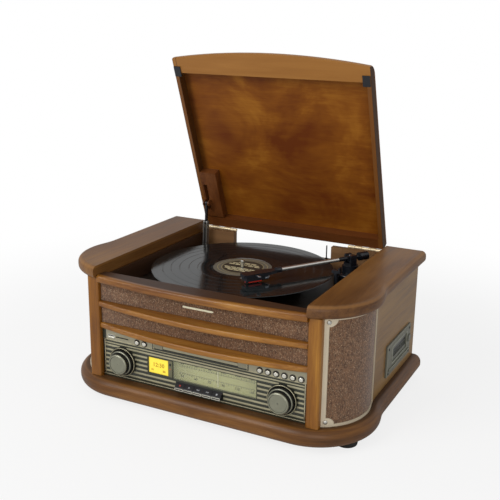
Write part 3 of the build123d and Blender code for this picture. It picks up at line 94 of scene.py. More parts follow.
class Value:
    """A node's output that can be written into sums, so that shader maths reads as maths."""

    def __init__(self, socket):
        self.socket = socket

    def node(self, kind, settings=(), inputs=(), output=0):
        """One more node in the same finish: its settings first, then its sockets."""
        made = self.socket.id_data.nodes.new("ShaderNode" + kind)
        for key, setting in dict(settings).items():
            if key == "stops":
                stops = made.color_ramp.elements
                for where, _ in setting[2:]:
                    stops.new(where)
                for stop, (where, colour) in zip(stops, setting):
                    stop.position, stop.color = where, paint(colour)
            else:
                setattr(made, key, setting)
        for key, value in dict(inputs).items():
            put(made.inputs[key], value)
        return Value(made.outputs[output])

    def maths(self, operation, *others):
        return self.node("Math", {"operation": operation}, dict(enumerate((self, *others))))

    def __add__(self, other):
        return self.maths("ADD", other)

    def __sub__(self, other):
        return self.maths("SUBTRACT", other)

    def __mul__(self, other):
        return self.maths("MULTIPLY", other)

    __radd__, __rmul__ = __add__, __mul__

    def __rsub__(self, other):
        return self.node("Math", {"operation": "SUBTRACT"}, {0: other, 1: self})

    def __truediv__(self, other):
        return self.maths("DIVIDE", other)

    def __abs__(self):
        return self.maths("ABSOLUTE")

    def axes(self):
        """The three numbers of a place, in millimetres, as place() counts them."""
        x, y, z = [self.node("SeparateXYZ", (), {"Vector": self}, n) * 1000 for n in range(3)]
        return x, y - 1000 * FRONT_Y, z

    def noise(self, scale, detail=3.0, roughness=0.5, distortion=0.0, stretch=(1, 1, 1)):
        """Cloudy noise, a number from 0 to 1, drawn out along the axes with a small stretch."""
        moved = self.node("Mapping", (), {"Vector": self, "Scale": stretch})
        return self.node("TexNoise", (), {"Vector": moved, "Scale": scale, "Detail": detail,
                                          "Roughness": roughness, "Distortion": distortion})

    def step(self, low, high):
        """0 below low, 1 above high, and smooth between them."""
        return self.node("MapRange", {"interpolation_type": "SMOOTHSTEP"},
                         {"Value": self, "From Min": low, "From Max": high})

    def band(self, low, high, soft):
        """1 between low and high, with soft edges."""
        return self.step(low - soft, low + soft) - self.step(high - soft, high + soft)

    def tint(self, under, over):
        """One colour laid over another by this amount."""
        return self.node("Mix", {"data_type": "RGBA"}, {0: self, 6: under, 7: over}, 2)

    def relief(self, depth):
        """This pattern as a lift of the surface, its depth in metres."""
        return self.node("Bump", (), {"Strength": 1.0, "Distance": depth, "Height": self})


AMBIENT, MIRRORED = 0.42, 0.62          # the room's light, and as polished faces see it
room = bpy.data.worlds.new("room")
scene.world = room
room.use_nodes = True
rays = room.node_tree.nodes.new("ShaderNodeLightPath").outputs
seen, mirrored, through = [Value(rays[f"Is {ray} Ray"]) for ray in ("Camera", "Glossy", "Transmission")]
light = room.node_tree.nodes["Background"]
put(light.inputs["Strength"],
    seen.maths("MAXIMUM", through).maths("MAXIMUM", mirrored * MIRRORED).maths("MAXIMUM", AMBIENT))
put(light.inputs["Color"], (1, 1, 1, 1))

for name, spot, size, power in (("key_lamp", (-1.0, -1.9, 1.75), 1.4, 27),
                                ("front_lamp", (1.3, -2.3, 1.0), 1.3, 12)):
    lamp_data = bpy.data.lights.new(name, "AREA")
    lamp_data.size, lamp_data.energy = size, power
    lamp = bpy.data.objects.new(name, lamp_data)
    facing = (Vector(spot) - Vector((0, 0, 0.15))).to_track_quat("Z", "Y").to_matrix().to_4x4()
    lamp.matrix_world = Matrix.Translation(spot) @ facing
    scene.collection.objects.link(lamp)


def fill(material, **sockets):
    """Sets or links sockets of a finish, their names written with bars for spaces."""
    for name, value in sockets.items():
        put(material.node_tree.nodes["Principled BSDF"].inputs[name.replace("_", " ")], value)


def finish(name, roughness, metallic=0.0, **sockets):
    """A new finish, and the place on the piece that its patterns follow."""
    material = bpy.data.materials.new(name)
    material.use_nodes = True
    fill(material, Roughness=roughness, Metallic=metallic, **sockets)
    spot = material.node_tree.nodes.new("ShaderNodeTexCoord")
    return material, Value(spot.outputs["Object"])


bpy.ops.mesh.primitive_plane_add(size=40, location=(0, 0, -0.0002))
floor = bpy.context.object
floor.name = "floor"
paper, at = finish("white_paper", 0.9)
fill(paper, Base_Color=at.noise(3, 2).tint((0.9, 0.9, 0.9, 1), (0.93, 0.93, 0.93, 1)))
nodes = paper.node_tree.nodes
seen = Value(nodes.new("ShaderNodeLightPath").outputs["Is Camera Ray"])
far = at.node("VectorMath", {"operation": "LENGTH"}, {0: at}, 1).step(0.45, 1.1)
white = at.node("Emission", (), {"Color": (1, 1, 1, 1), "Strength": 1.0})
whitened = at.node("MixShader", (), {
    0: seen * (0.8 + 0.2 * far), 1: Value(nodes["Principled BSDF"].outputs[0]), 2: white})
put(nodes["Material Output"].inputs["Surface"], whitened)
floor.data.materials.append(paper)

# ---- plinth
# The base is a shallow plinth of stained hardwood with its edge rounded right over, polished to
# a satin shine, its grain following the outline round the corners. It is screwed up into the walls.
CORNER_X, CORNER_Y, GRAIN_R = 160, 85, 90   # middle of the round corners; where their grain is true


def from_axis(u, v):
    """How far a place is from an axis, given how far it is to either side."""
    return (u * u + v * v).maths("SQRT")


def round_the_corner(at):
    """A place measured along the cabinet's outline, out from it, and up: for grain and weave."""
    x, y, z = at.axes()
    x = abs(x)
    out_x = (x - CORNER_X).maths("MAXIMUM", 0)
    out_y = (y - CORNER_Y).maths("MINIMUM", 0)
    angle = out_x.maths("ARCTAN2", 0 - out_y)
    along = x.maths("MINIMUM", CORNER_X) + GRAIN_R * angle + (y - CORNER_Y).maths("MAXIMUM", 0)
    return at.node("CombineXYZ", (), {0: along / 1000, 1: from_axis(out_x, out_y) / 1000, 2: z / 1000})


def shaded(colour, share):
    """A card's colour with less or more light, as plain light."""
    return [min(1.0, share * c) for c in paint(colour)[:3]] + [1.0]


def wood(name, dark, middle, pale, stretch, round_corners=False, gloss=0.38, coat=0.16, shade=None,
         painted_highlight=None):
    """Stained wood: slow blotches, streaks drawn out along the grain, and fine dark pores."""
    material, spot = finish(name, gloss, Coat_Weight=coat, Coat_Roughness=0.22, Specular_IOR_Level=0.35)
    at = round_the_corner(spot) if round_corners else spot
    blotch = at.noise(11, 2, 0.5, 0.3, [0.35 + 0.65 * s for s in stretch])
    streak = at.noise(95, 4, 0.62, 0.5, stretch)
    fine = at.noise(520, 3, 0.6, 0.0, stretch)
    tone = 0.42 * blotch + 0.38 * streak + 0.2 * fine
    stain_and_shading = tone.node("ValToRGB", {"stops": ((0.36, dark), (0.5, middle), (0.64, pale))}, {0: tone})
    pores = at.noise(1300, 1, 0.5, 0.0, [s if s < 1 else 0.8 for s in stretch]).step(0.34, 0.27)
    stain_and_shading = (0.3 * pores).tint(stain_and_shading, dark)
    rough = gloss - 0.07 + 0.16 * streak
    # Where a shade is given, painted shade is laid over the stain; where a highlight is given, a pale band
    # of painted highlight.
    if shade:
        stain_and_shading = shade(spot).tint(stain_and_shading, shaded(dark, 0.25))
        rough += 0.3 * shade(spot)
    if painted_highlight:
        stain_and_shading = painted_highlight(spot).tint(stain_and_shading, shaded(pale, 1.5))
    fill(material, Base_Color=stain_and_shading, Roughness=rough, Normal=(fine * 0.6 - pores).relief(0.00006))
    return material


def dress(material, *nodes):
    """Gives pieces of the cabinet, as packed, their finish."""
    for node in nodes:
        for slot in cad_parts[node].material_slots:
            slot.material = material


# The wood finishes below differ from piece to piece partly in real colour, the posts and rails being more
# honey-coloured, and partly as painted light: each piece's tones also follow how brightly it is lit.
ALONG_X, ALONG_Y, ALONG_Z = (0.05, 1, 1), (1, 0.05, 1), (1, 1, 0.05)
# The plinth's top face, where the cabinet stands on it, is painted darker: painted shade.
dress(wood("moulding_wood", (64, 36, 8), (104, 64, 22), (138, 92, 40), ALONG_X, True, 0.4, 0.05,
           shade=lambda at: 0.6 * at.axes()[2].step(36.6, 38.2)), "plinth")

# ---- side walls and shoulders
# The flanks are boards on edge, grain running to the back. The two shoulders lie over them and
# over the grilles as thick rounded boards, screwed from below. A pale band along the rounding of
# their top edge is a painted highlight.
dress(wood("side_wood", (114, 80, 38), (142, 106, 56), (160, 126, 76), ALONG_Y, gloss=0.4),
      "left_side_wall", "right_side_wall")
# The pale band near the top of the shoulders' rounding is a painted highlight.
dress(wood("shoulder_wood", (84, 50, 18), (114, 74, 32), (138, 96, 48), ALONG_Y, False, 0.44, 0.06,
           painted_highlight=lambda at: 0.4 * at.axes()[2].band(221.5, 224.4, 0.9)),
      "left_shoulder", "right_shoulder")

# ---- front posts and rails
# Two square posts of honey-coloured wood frame the front. Three slim rails bow forward between
# them: the top one closes the deck, the lower two cross the cloth. All are glued into the posts.
dress(wood("post_wood", (100, 56, 8), (138, 86, 20), (172, 118, 38), ALONG_Z), "front_posts")


def behind_the_edge(at):
    """The top rail's flat, behind its rounded front edge, darkened there with painted shade."""
    x, y, z = at.axes()
    bow = 13.4 / 179 ** 2 * (x * x)
    return 0.95 * (y + 17 - bow).step(6, 10) * z.step(209, 209.8)


for name, node, shade in (("top_rail_wood", "top_rail", behind_the_edge),
                          ("rail_wood", "bowed_rails", None)):
    dress(wood(name, (104, 58, 14), (146, 94, 32), (182, 128, 54), ALONG_X, gloss=0.32, shade=shade), node)

# ---- rear wall
# The back is a board of dark-faced fibreboard with two banks of vent slots; the two blocks that
# carry the lid's hinges, and the face towards the turntable, are stained like the cabinet.
board, at = finish("rear_board", 0.7)
_, y, z = at.axes()
streak = at.noise(95, 4, 0.62, 0.5, ALONG_X)
fibre = at.noise(900, 3).tint((20, 18, 16), (38, 34, 30))
stained = y.step(331.4, 330.9) * z.step(173, 175)
fill(board, Base_Color=stained.tint(fibre, streak.tint((96, 64, 34), (144, 104, 62))),
     Normal=streak.relief(0.00004))
dress(board, "rear_wall")

# ---- front cloth
# Two strips of speaker cloth, a brown and mauve yarn flecked with pale threads, are stretched
# over dark boards between the rails and stapled behind. The cloth is glued down to the boards.


def moulded(name, colour, roughness, metallic=0.0, speckle=0.12, size=260, **sockets):
    """An even finish such as moulded plastic, paint or plate, slightly uneven in tone and shine."""
    material, at = finish(name, roughness, metallic, **sockets)
    cloud, grit = at.noise(size * 0.12, 2), at.noise(size * 4, 2)
    tone = (0.5 * cloud + 0.5 * grit).step(0.3, 0.7)
    fill(material, Base_Color=tone.tint(shaded(colour, 1 - speckle), shaded(colour, 1 + speckle)),
         Roughness=roughness * (0.85 + 0.3 * cloud), Normal=grit.relief(0.00002))
    return material


def mode(kind):
    bpy.ops.object.mode_set(mode=kind)


def choose(action):
    """Selects all, or none, of the piece that is open for shaping."""
    bpy.ops.mesh.select_all(action=action)


def close_up(weld=0.000002):
    """Welds what coincides in the piece that is open, and turns its faces outward."""
    choose("SELECT")
    bpy.ops.mesh.remove_doubles(threshold=weld)
    bpy.ops.mesh.normals_make_consistent(inside=False)
    mode("OBJECT")


def edit(piece):
    """Opens a piece for shaping, with all of it selected."""
    take(piece)
    mode("EDIT")
    choose("SELECT")


def settle(piece, material, body="cabinet", crease=35):
    """Makes a shaped piece final: its place goes into its mesh, and it gets its finish and body."""
    if bpy.context.mode != "OBJECT":
        mode("OBJECT")
    take(piece)
    bpy.ops.object.transform_apply()
    bpy.ops.object.shade_smooth_by_angle(angle=radians(crease))
    piece.data.materials.clear()
    piece.data.materials.append(material)
    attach(piece, body)
    take()
    return piece


def eased(name, low, high, edge, segments):
    """A block between two opposite corners in metres, its edges eased by millimetres."""
    take()
    bpy.ops.mesh.primitive_cube_add(size=1, location=(low + high) / 2, scale=high - low)
    piece = bpy.context.object
    piece.name = name
    bpy.ops.object.transform_apply(location=False, rotation=False)
    edit(piece)
    bpy.ops.mesh.bevel(offset=edge / 1000, segments=segments, affect="EDGES")
    mode("OBJECT")
    return piece


def block(name, low, high, edge=0.3, segments=2):
    """An eased block between two opposite corners in millimetres."""
    return eased(name, place(*low), place(*high), edge, segments)


cloth, at = finish("speaker_cloth", 0.92, Sheen_Weight=0.25, Sheen_Roughness=0.5)
THREADS = 2 * pi / 1.1                  # a thread every 1.1 mm
along = round_the_corner(at)
run, _, rise = along.axes()
warp, weft = (run * THREADS).maths("SINE"), (rise * THREADS).maths("SINE")
yarn = along.noise(420, 2, 0.6, 0, (1, 1, 0.55))
patch = along.noise(60, 3, 0.6)
flecks = along.noise(1000, 1, 0.5, 0, (1, 1, 0.6)).step(0.59, 0.69)
dark_flecks = along.noise(900, 1, 0.5, 0, (0.6, 1, 1)).step(0.38, 0.30)
base_cloth = (0.78 * yarn + 0.22 * patch).step(0.34, 0.64).tint((82, 55, 38), (132, 96, 68))
base_cloth = (0.62 * flecks).tint(base_cloth, (204, 178, 144))
weave = 0.5 + 0.25 * warp * weft + 0.25 * warp
fill(cloth, Base_Color=(0.35 * dark_flecks).tint(base_cloth, (40, 26, 22)),
     Normal=(0.6 * weave + 0.4 * flecks).relief(0.00025))
cloth_board = moulded("cloth_board", (30, 22, 18), 0.8)

CLOTH_HALF, CLOTH_Y, BOARD_Y, BOARD_BACK = 178.6, 6.6, 8.0, 10.4
for name, base, top in (("upper_front_cloth", 166.3, 197.7), ("lower_front_cloth", 129.8, 156.7)):
    sheet = block(name, (-CLOTH_HALF, CLOTH_Y, base), (CLOTH_HALF, BOARD_Y, top), 0.5)
    settle(sheet, cloth)
    backing = block(name + "_board", (-CLOTH_HALF, BOARD_Y, base), (CLOTH_HALF, BOARD_BACK, top), 0.2)
    settle(backing, cloth_board)
    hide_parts("cloth_panels")
    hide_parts("cloth_panels")
    (top - base) / 1000

# ---- name strip
# A slim gold-coloured strip stands on the upper cloth where a maker would put a name: here it is
# left bare. It is a cast bar with narrowed ends, held by two pins through the board.
strip = block("bare_strip", (-27, 4.9, 181.3), (26, 6.7, 184.4), 0.6, 3)
edit(strip)
for end in (-24.5, 23.5):
    choose("SELECT")
    bpy.ops.mesh.bisect(plane_co=place(end, 6, 182.9), plane_no=(1, 0, 0))
choose("DESELECT")
mode("OBJECT")
for vertex in strip.data.vertices:
    vertex.select = abs(vertex.co.x + 0.0005) > 0.0255
mode("EDIT")
bpy.ops.transform.resize(value=(1, 1, 0.5), center_override=place(-0.5, 5.9, 182.9))
settle(strip, moulded("pale_gold", (255, 244, 212), 0.34, size=500))

# ---- feet
# Four black rubber feet, tapering a little towards the floor, lift the plinth. Each has a hollow in
# its underside for the screw that holds it.
foot_rubber = moulded("foot_rubber", (26, 24, 22), 0.75)
SIDES = ((-1, "left"), (1, "right"))


def select_faces(piece, wanted):
    """Selects only the faces that pass a test, in a piece that is open for shaping."""
    choose("DESELECT")
    mode("OBJECT")
    for face in piece.data.polygons:
        face.select = wanted(face)
    mode("EDIT")


for side, hand in SIDES:
    for end, x, y in (("front", 225, 51), ("rear", 205, 290)):
        take()
        bpy.ops.mesh.primitive_cone_add(vertices=48, radius1=0.0164, radius2=0.018, depth=0.009,
                                        location=place(side * x, y, 4.5))
        foot = bpy.context.object
        foot.name = f"{hand}_{end}_foot"
        bpy.ops.object.transform_apply()
        edit(foot)
        bpy.ops.mesh.bevel(offset=0.0008, segments=2, affect="EDGES")
        select_faces(foot, lambda face: face.normal.z < -0.99)
        bpy.ops.mesh.inset(thickness=0.008)
        bpy.ops.mesh.inset(thickness=0.0008, depth=-0.004)
        settle(foot, foot_rubber)
        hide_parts("feet")

# ---- corner grilles
# Each rounded corner is a window framed in cream-painted metal, with quarter-round ears that take
# one screw each. A sheet of the same cloth is stretched round behind it from the post to the flank.
dress(moulded("cream_paint", (214, 200, 174), 0.42, speckle=0.06), "grille_frames")

CORNER_R, FLANK_X, FLANK_Y, BEND_R, CLOTH_STEP = 96.5, 249.5, 140, 109.804, 13.75
GRILLE_BASE, GRILLE_TOP = 38.2, 204.8
grille_height = (GRILLE_TOP - GRILLE_BASE) / 1000
bend = degrees(atan2(FLANK_Y - CORNER_Y, 2 * BEND_R - 7))
sheet_r, hollow_r = CORNER_R - CLOTH_STEP, BEND_R + CLOTH_STEP
first = degrees(asin(39.9 / sheet_r))
last = bend - degrees(asin((FLANK_Y - 122.4) / hollow_r))
for side, hand in SIDES:
    start_r = sheet_r - 0.9
    start_x = CORNER_X + start_r * sin(radians(first))
    start_y = CORNER_Y - start_r * cos(radians(first))
    take()
    bpy.ops.mesh.primitive_plane_add(
        size=1, location=place(side * start_x, start_y, (GRILLE_BASE + GRILLE_TOP) / 2),
        rotation=(pi / 2, 0, side * radians(first - 90)))
    sheet = bpy.context.object
    sheet.name = hand + "_corner_cloth"
    sheet.scale = (0.0018, grille_height, 1)
    bpy.ops.object.transform_apply()
    edit(sheet)
    for middle_x, middle_y, sweep, steps in (
            (CORNER_X, CORNER_Y, 90 - first, 18), (CORNER_X + CORNER_R - BEND_R, CORNER_Y, bend, 5),
            (FLANK_X + BEND_R, FLANK_Y, -last, 4)):
        bpy.ops.mesh.spin(steps=steps, angle=-side * radians(sweep), axis=(0, 0, 1),
                          center=place(side * middle_x, middle_y, 0))
    close_up(0.00001)
    settle(sheet, cloth)
    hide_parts("grille_cloths")

UPWARD, FORWARD, BACKWARD = (0, 0, 1), (0, -1, 0), (0, 1, 0)


def turned(name, outline, foot, axis=UPWARD, sides=48, hollow=False):
    """A turned piece: a ring drawn along its axis and widened from point to point of its outline.

    The outline is pairs of radius and height in millimetres; a hollow one closes on itself."""
    axis = Vector(axis).normalized()
    take()
    radius, height = outline[0]
    bpy.ops.mesh.primitive_circle_add(
        vertices=sides, radius=radius / 1000, fill_type="NOTHING" if hollow else "NGON",
        location=foot + axis * height / 1000, rotation=axis.to_track_quat("Z", "Y").to_euler())
    piece = bpy.context.object
    piece.name = name
    edit(piece)
    draw_out = bpy.ops.mesh.extrude_edges_move if hollow else bpy.ops.mesh.extrude_region_move
    for new_radius, new_height in outline[1:] + (outline[:1] if hollow else []):
        draw_out(TRANSFORM_OT_translate={"value": axis * (new_height - height) / 1000})
        if new_radius == 0:
            bpy.ops.mesh.merge(type="CENTER")
        elif new_radius != radius:
            bpy.ops.transform.resize(value=[new_radius / radius] * 3,
                                     center_override=foot + axis * new_height / 1000)
        radius, height = new_radius, new_height
    close_up()
    return piece


outline = [(3.4, 0), (3.4, 0.5), (3.0, 1.1), (2.1, 1.6), (1.0, 1.85), (0, 1.9)]
screw_steel = moulded("screw_steel", (196, 194, 186), 0.3, 1.0, size=700)
for side, hand in SIDES:
    out = Vector((side * (205.1 - CORNER_X), -71.3, 0)).normalized()
    for height, level in ((45.6, "low"), (198.0, "high")):
        spot = place(side * CORNER_X, CORNER_Y, height) + out * (CORNER_R - 12.3) / 1000
        screw = turned(f"{hand}_{level}_grille_screw", outline, spot, out, 24)
        settle(screw, screw_steel)

# ---- speaker drivers
# Behind each grille stands a baffle with a small full-range driver in it: a paper cone in a
# rubber surround, glued to a pressed steel basket.
driver, at = finish("driver_paper", 0.8)
_, y, z = at.axes()
radius = from_axis(y - 82, z - 122)
paper_cone = at.noise(500, 3).tint((34, 32, 30), (58, 54, 50))
fill(driver, Base_Color=radius.step(33, 34).tint(paper_cone, (58, 44, 32)),
     Normal=(radius * 1.6).maths("SINE").relief(0.0003))
dress(driver, "speaker_drivers")

# ---- fascia
# The front panel is one moulding, lacquered dark green and crossed by pale ribs that are picked out
# in champagne. A smooth champagne plate stands proud at each end of its top for sockets and buttons.
lacquer, at = finish("fascia_lacquer", 0.32, Coat_Weight=0.35, Coat_Roughness=0.15)
x, y, z = at.axes()
cloud = at.noise(30, 2)
green = cloud.tint((30, 34, 24), (46, 50, 36))
champagne = (0.5 * cloud + 0.5 * at.noise(900, 2)).tint((146, 141, 118), (170, 165, 140))
above_ribs = z.step(103.2, 103.6)
plate = abs(x).step(82.2, 82.6) * z.step(101.2, 101.6) + abs(x).band(66, 82.4, 0.2) * above_ribs
plate *= x.step(-172.2, -171.8)
fluting = abs(x).band(66.4, 81, 0.2) * above_ribs * (x * 4).maths("SINE")
fill(lacquer, Base_Color=plate.tint(green, champagne), Metallic=0.3 * plate,
     Normal=(at.noise(1200, 2) * 0.1 + fluting).relief(0.0002))
dress(lacquer, "fascia")

rib_paint = moulded("champagne_rib", (176, 170, 140), 0.32, 0.35, size=420)
bright_line = moulded("bright_line", (214, 206, 176), 0.25, 0.8, size=420)
black_line = moulded("black_line", (18, 19, 16), 0.35)


def joined(name, pieces):
    """Several pieces made into one."""
    take(*pieces)
    bpy.ops.object.join()
    pieces[0].name = name
    return pieces[0]


def bars(name, spans):
    """One piece made of blocks, each given by two opposite corners, and by its edge if not 0.3."""
    return joined(name, [block(name, *span) for span in spans])


def both_sides(middle, half, front, rear, base, top, edge=0.25):
    """Two like blocks, to the left and right of the middle."""
    return [((side * middle - half, front, base), (side * middle + half, rear, top), edge)
            for side, _ in SIDES]


FASCIA_Y, FASCIA_HALF, KNOB_X, KNOB_Z, RING_R = 8.5, 174.0, 140, 69, 23.6
LINE_FRONT, LINE_REAR = FASCIA_Y - 0.9, FASCIA_Y + 0.3
spans = []
for middle, half in [(47 + 7.45 * row, 1.55) for row in range(7)] + [(96.4, 1.1), (100.6, 0.5)]:
    gaps = [(-94.5, 98.5)] * (57 < middle < 90) + [(-42.2, 41.6)] * (42 < middle < 57)
    lift = abs(middle - KNOB_Z)
    if lift < RING_R:
        reach = sqrt(RING_R ** 2 - lift ** 2)
        gaps += [(side * KNOB_X - reach, side * KNOB_X + reach) for side, _ in SIDES]
    start = -FASCIA_HALF
    for gap_start, gap_end in sorted(gaps) + [(FASCIA_HALF, FASCIA_HALF)]:
        if gap_start > start + 0.5:
            spans.append(((start, LINE_FRONT, middle - half), (gap_start, LINE_REAR, middle + half), 0.42))
        start = gap_end
settle(bars("fascia_ribs", spans), rib_paint)

settle(bars("fascia_bright_lines", [
    ((-178.5, LINE_FRONT, 40.6), (178.5, LINE_REAR, 41.9)),
    *both_sides(81.8, 0.5, 7.3, 8.8, 101.6, 119.6), *both_sides(130.95, 47.05, 7.2, 8.0, 101.5, 102.4),
    *both_sides(175, 0.6, 7.6, 8.8, 42.6, 101)]), bright_line)
settle(bars("fascia_dark_lines", both_sides(83.3, 0.7, 7.3, 8.8, 101.6, 119.6)
            + both_sides(177, 1.4, 8.0, 8.8, 42.6, 101, 0.2)), black_line)

for side, knob in ((-1, "volume"), (1, "tuning")):
    for part, material, outline in (
            ("ring", black_line,
             [(21.7, 0), (21.7, 4.3), (22.3, 4.9), (23.2, 4.7), (23.9, 3.6), (23.9, 0)]),
            ("line", rib_paint, [(22.6, 4.3), (22.6, 5.1), (23.1, 5.2), (23.5, 4.9), (23.5, 4.2)])):
        spot = place(side * KNOB_X, FASCIA_Y, KNOB_Z)
        ring = turned(f"{knob}_bezel_{part}", outline, spot, FORWARD, 72, True)
        settle(ring, material)

# ---- tuning scale
# A clear window covers a pressed card printed with two rows of frequencies. A thin upright pointer
# runs in front of the card on a carriage that a cord pulls along from the tuning knob.
window, at = finish("clear_window", 0.08, Alpha=0.14)
fill(window, Base_Color=at.noise(20, 2).tint((206, 208, 178), (226, 228, 200)),
     Roughness=0.05 + 0.08 * at.noise(40, 2))
dress(window, "dial_window")
card, at = finish("printed_card", 0.6)
glow = abs(at.axes()[0] - 25).step(95, 20)
lit = (0.7 * glow + 0.3 * at.noise(60, 3)).tint((128, 128, 90), (172, 172, 122))
fill(card, Base_Color=lit, Emission_Color=lit, Emission_Strength=0.22,
     Normal=at.noise(2500, 1).relief(0.00001))
dress(card, "dial_plate")
POINTER = (196, 194, 164)
dress(moulded("pointer_white", POINTER, 0.4, Emission_Color=POINTER, Emission_Strength=0.15),
      "dial_pointer")


def numeral(text, size, spot, depth=0.15, spacing=1.0):
    """Figures cut from thin sheet, standing upright and facing forward, their middle at a spot."""
    take()
    bpy.ops.object.text_add(location=(0, 0, 0), rotation=(pi / 2, 0, 0))
    figure = bpy.context.object.data
    figure.body, figure.resolution_u = text, 3
    figure.size, figure.extrude, figure.offset = size / 1000, depth / 2000, size * 0.00002
    figure.space_character = spacing
    figure.align_x, figure.align_y = "CENTER", "CENTER"
    bpy.ops.object.convert(target="MESH")
    figure = bpy.context.object
    figure.location = spot
    bpy.ops.object.transform_apply()
    return figure


CARD_Y, CARD_FRONT = 17.3, 17.6
pieces = []
for tick in range(31):
    x = -40 + tick * 129 / 30
    tall = 3.2 if tick % 5 == 0 else 2.0
    for base, top in ((79.0, 79.0 + tall), (67.7 - tall, 67.7)):
        pieces.append(block("tick", (x - 0.42, CARD_Y, base), (x + 0.42, CARD_FRONT, top), 0.05, 1))
for z, figures in ((84.0, "88 92 96 100 104 108"), (62.6, "54 60 70 90 120 160")):
    for n, figure in enumerate(figures.split()):
        pieces.append(numeral(figure, 6.0, place(-36 + n * 24.2, CARD_Y + 0.15, z)))
for z in (78.6, 67.7):
    pieces.append(block("line", (-42, CARD_Y, z), (91, CARD_FRONT, z + 0.4), 0.05, 1))
settle(joined("scale_print", pieces), moulded("scale_ink", (32, 34, 22), 0.6))

# ---- display
# Left of the scale a back-lit liquid-crystal display shows the track and time in amber. A dark
# sensor window and a small lamp sit between the two.
DISPLAY_X, DISPLAY_Z, FIGURES_Y = -74, 74, 8.9
amber, at = finish("amber_light", 0.35)
x, _, z = at.axes()
middle = abs(x - DISPLAY_X).step(18.4, 15.0) * abs(z - DISPLAY_Z).step(13.2, 10.5)
lit = middle.tint((204, 176, 46), (228, 210, 66))
fill(amber, Base_Color=lit, Emission_Color=(0.4 * at.noise(150, 2)).tint(lit, (240, 214, 90)),
     Emission_Strength=0.5, Normal=at.noise(900, 2).relief(0.00001))
dress(amber, "display")
AMBER_INK = (176, 128, 18)
amber_ink = moulded("display_figures", AMBER_INK, 0.4, Emission_Color=AMBER_INK, Emission_Strength=0.3)
figures = [numeral("12:30", 9.2, place(DISPLAY_X, FIGURES_Y, 75.5), 0.2, 1.05)]
figures += [numeral(text, 5.0, place(x, FIGURES_Y, 66.5), 0.2) for text, x in (("01", -85), ("88", -64))]
settle(joined("display_figures", figures), amber_ink)
settle(block("sensor_strip", (-55.2, 7.9, 60.5), (-48.8, 8.8, 87.6)),
       moulded("sensor_strip_paint", (116, 114, 88), 0.36, 0.2))
settle(block("remote_sensor", (-53.4, 7.4, 79.5), (-50.6, 8.2, 83.5)), black_line)
lamp_glow = moulded("small_lamp", (176, 96, 70), 0.4, Emission_Color=(190, 100, 70), Emission_Strength=0.2)
dome = turned("standby_lamp", [(1.1, 0), (1.1, 0.8), (0.8, 1.2), (0, 1.35)],
              place(-52, 8.0, 74), FORWARD, 16)
settle(dome, lamp_glow)

# ---- media sockets
# A champagne insert in the left plate holds a USB socket with its tinned steel shell and, to
# the right of it, a memory-card slot in a champagne lip; a black block in the slot's mouth is painted
# shade.
dress(moulded("socket_plastic", (138, 134, 114), 0.36, 0.4), "media_sockets")
tinned = moulded("tinned_steel", (226, 224, 214), 0.24, 0.9, size=700)


def framed(name, low, high, wall):
    """A shallow rectangular rim: a block whose front is inset and sunk most of the way through."""
    piece = block(name, low, high, 0.15, 1)
    edit(piece)
    select_faces(piece, lambda face: face.normal.y < -0.99 and face.area > 0.000004)
    bpy.ops.mesh.inset(thickness=wall / 1000)
    bpy.ops.mesh.extrude_region_move(TRANSFORM_OT_translate={"value": (0, (high[1] - low[1]) * 0.0008, 0)})
    mode("OBJECT")
    return piece


settle(framed("usb_shell", (-168.6, 7.0, 105.2), (-155.4, 8.6, 111.0), 0.8), tinned)
settle(block("usb_tongue", (-167.2, 7.5, 108.2), (-156.8, 8.5, 110.0), 0.15), black_line)
settle(framed("card_lip", (-154.2, 7.2, 106.2), (-127.8, 8.6, 110.2), 0.7), rib_paint)
# The black block in the card slot stands for the shade inside it: painted shade.
settle(block("card_slot_shade", (-153.2, 7.9, 107.1), (-128.8, 8.5, 109.3), 0.15), black_line)

# ---- disc drive and tray
# The compact-disc drive is a black moulded box behind the fascia. Its tray front is a strip of
# the same champagne as the ribs, with a groove moulded along it; the groove and a band along
# the strip's lower edge are painted near black as painted shade.
dress(moulded("drive_plastic", (30, 31, 32), 0.5), "cd_drive")
tray, at = finish("tray_front", 0.3, Coat_Weight=0.3)
_, y, z = at.axes()
front = y.step(13, 12)
# The groove and a band along the strip's lower edge are painted near black: painted shade.
groove = z.band(109.2, 111.0, 0.25) + z.step(104.9, 104.5)
strip_colour = at.noise(60, 2).tint((156, 152, 126), (182, 176, 148))
fill(tray, Base_Color=front.tint((34, 34, 34), groove.tint(strip_colour, (30, 32, 24))),
     Metallic=0.4 * front, Normal=(1 - groove).relief(0.0004))
dress(tray, "cd_tray")

# ---- push buttons
# Eight small domed buttons, plated bright, stand in dark bushes: two on the left plate and six on
# the right.
FIRST_BUTTON = -112.5
buttons = [("left_button_1", FIRST_BUTTON), ("left_button_2", -99.0)]
buttons += [(f"right_button_{n + 1}", 102.6 + 13.2 * n) for n in range(6)]
dress(moulded("button_plate", (226, 224, 212), 0.2, 0.85, size=900), *[name for name, _ in buttons])


def copied(piece, name, shift):
    """A copy of a settled piece of the cabinet, with its own mesh, moved by millimetres."""
    twin = piece.copy()
    twin.data = piece.data.copy()
    twin.name = name
    twin.data.transform(Matrix.Translation(Vector(shift) / 1000))
    scene.collection.objects.link(twin)
    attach(twin, "cabinet")


bush = turned("left_button_1_bush", [(4.05, 0), (4.05, 0.9), (4.5, 1.1), (5.1, 0.8), (5.2, 0)],
              place(FIRST_BUTTON, 7.8, 106.5), FORWARD, 32, True)
settle(bush, black_line)
for name, x in buttons[1:]:
    copied(bush, name + "_bush", (x - FIRST_BUTTON, 0, 0))

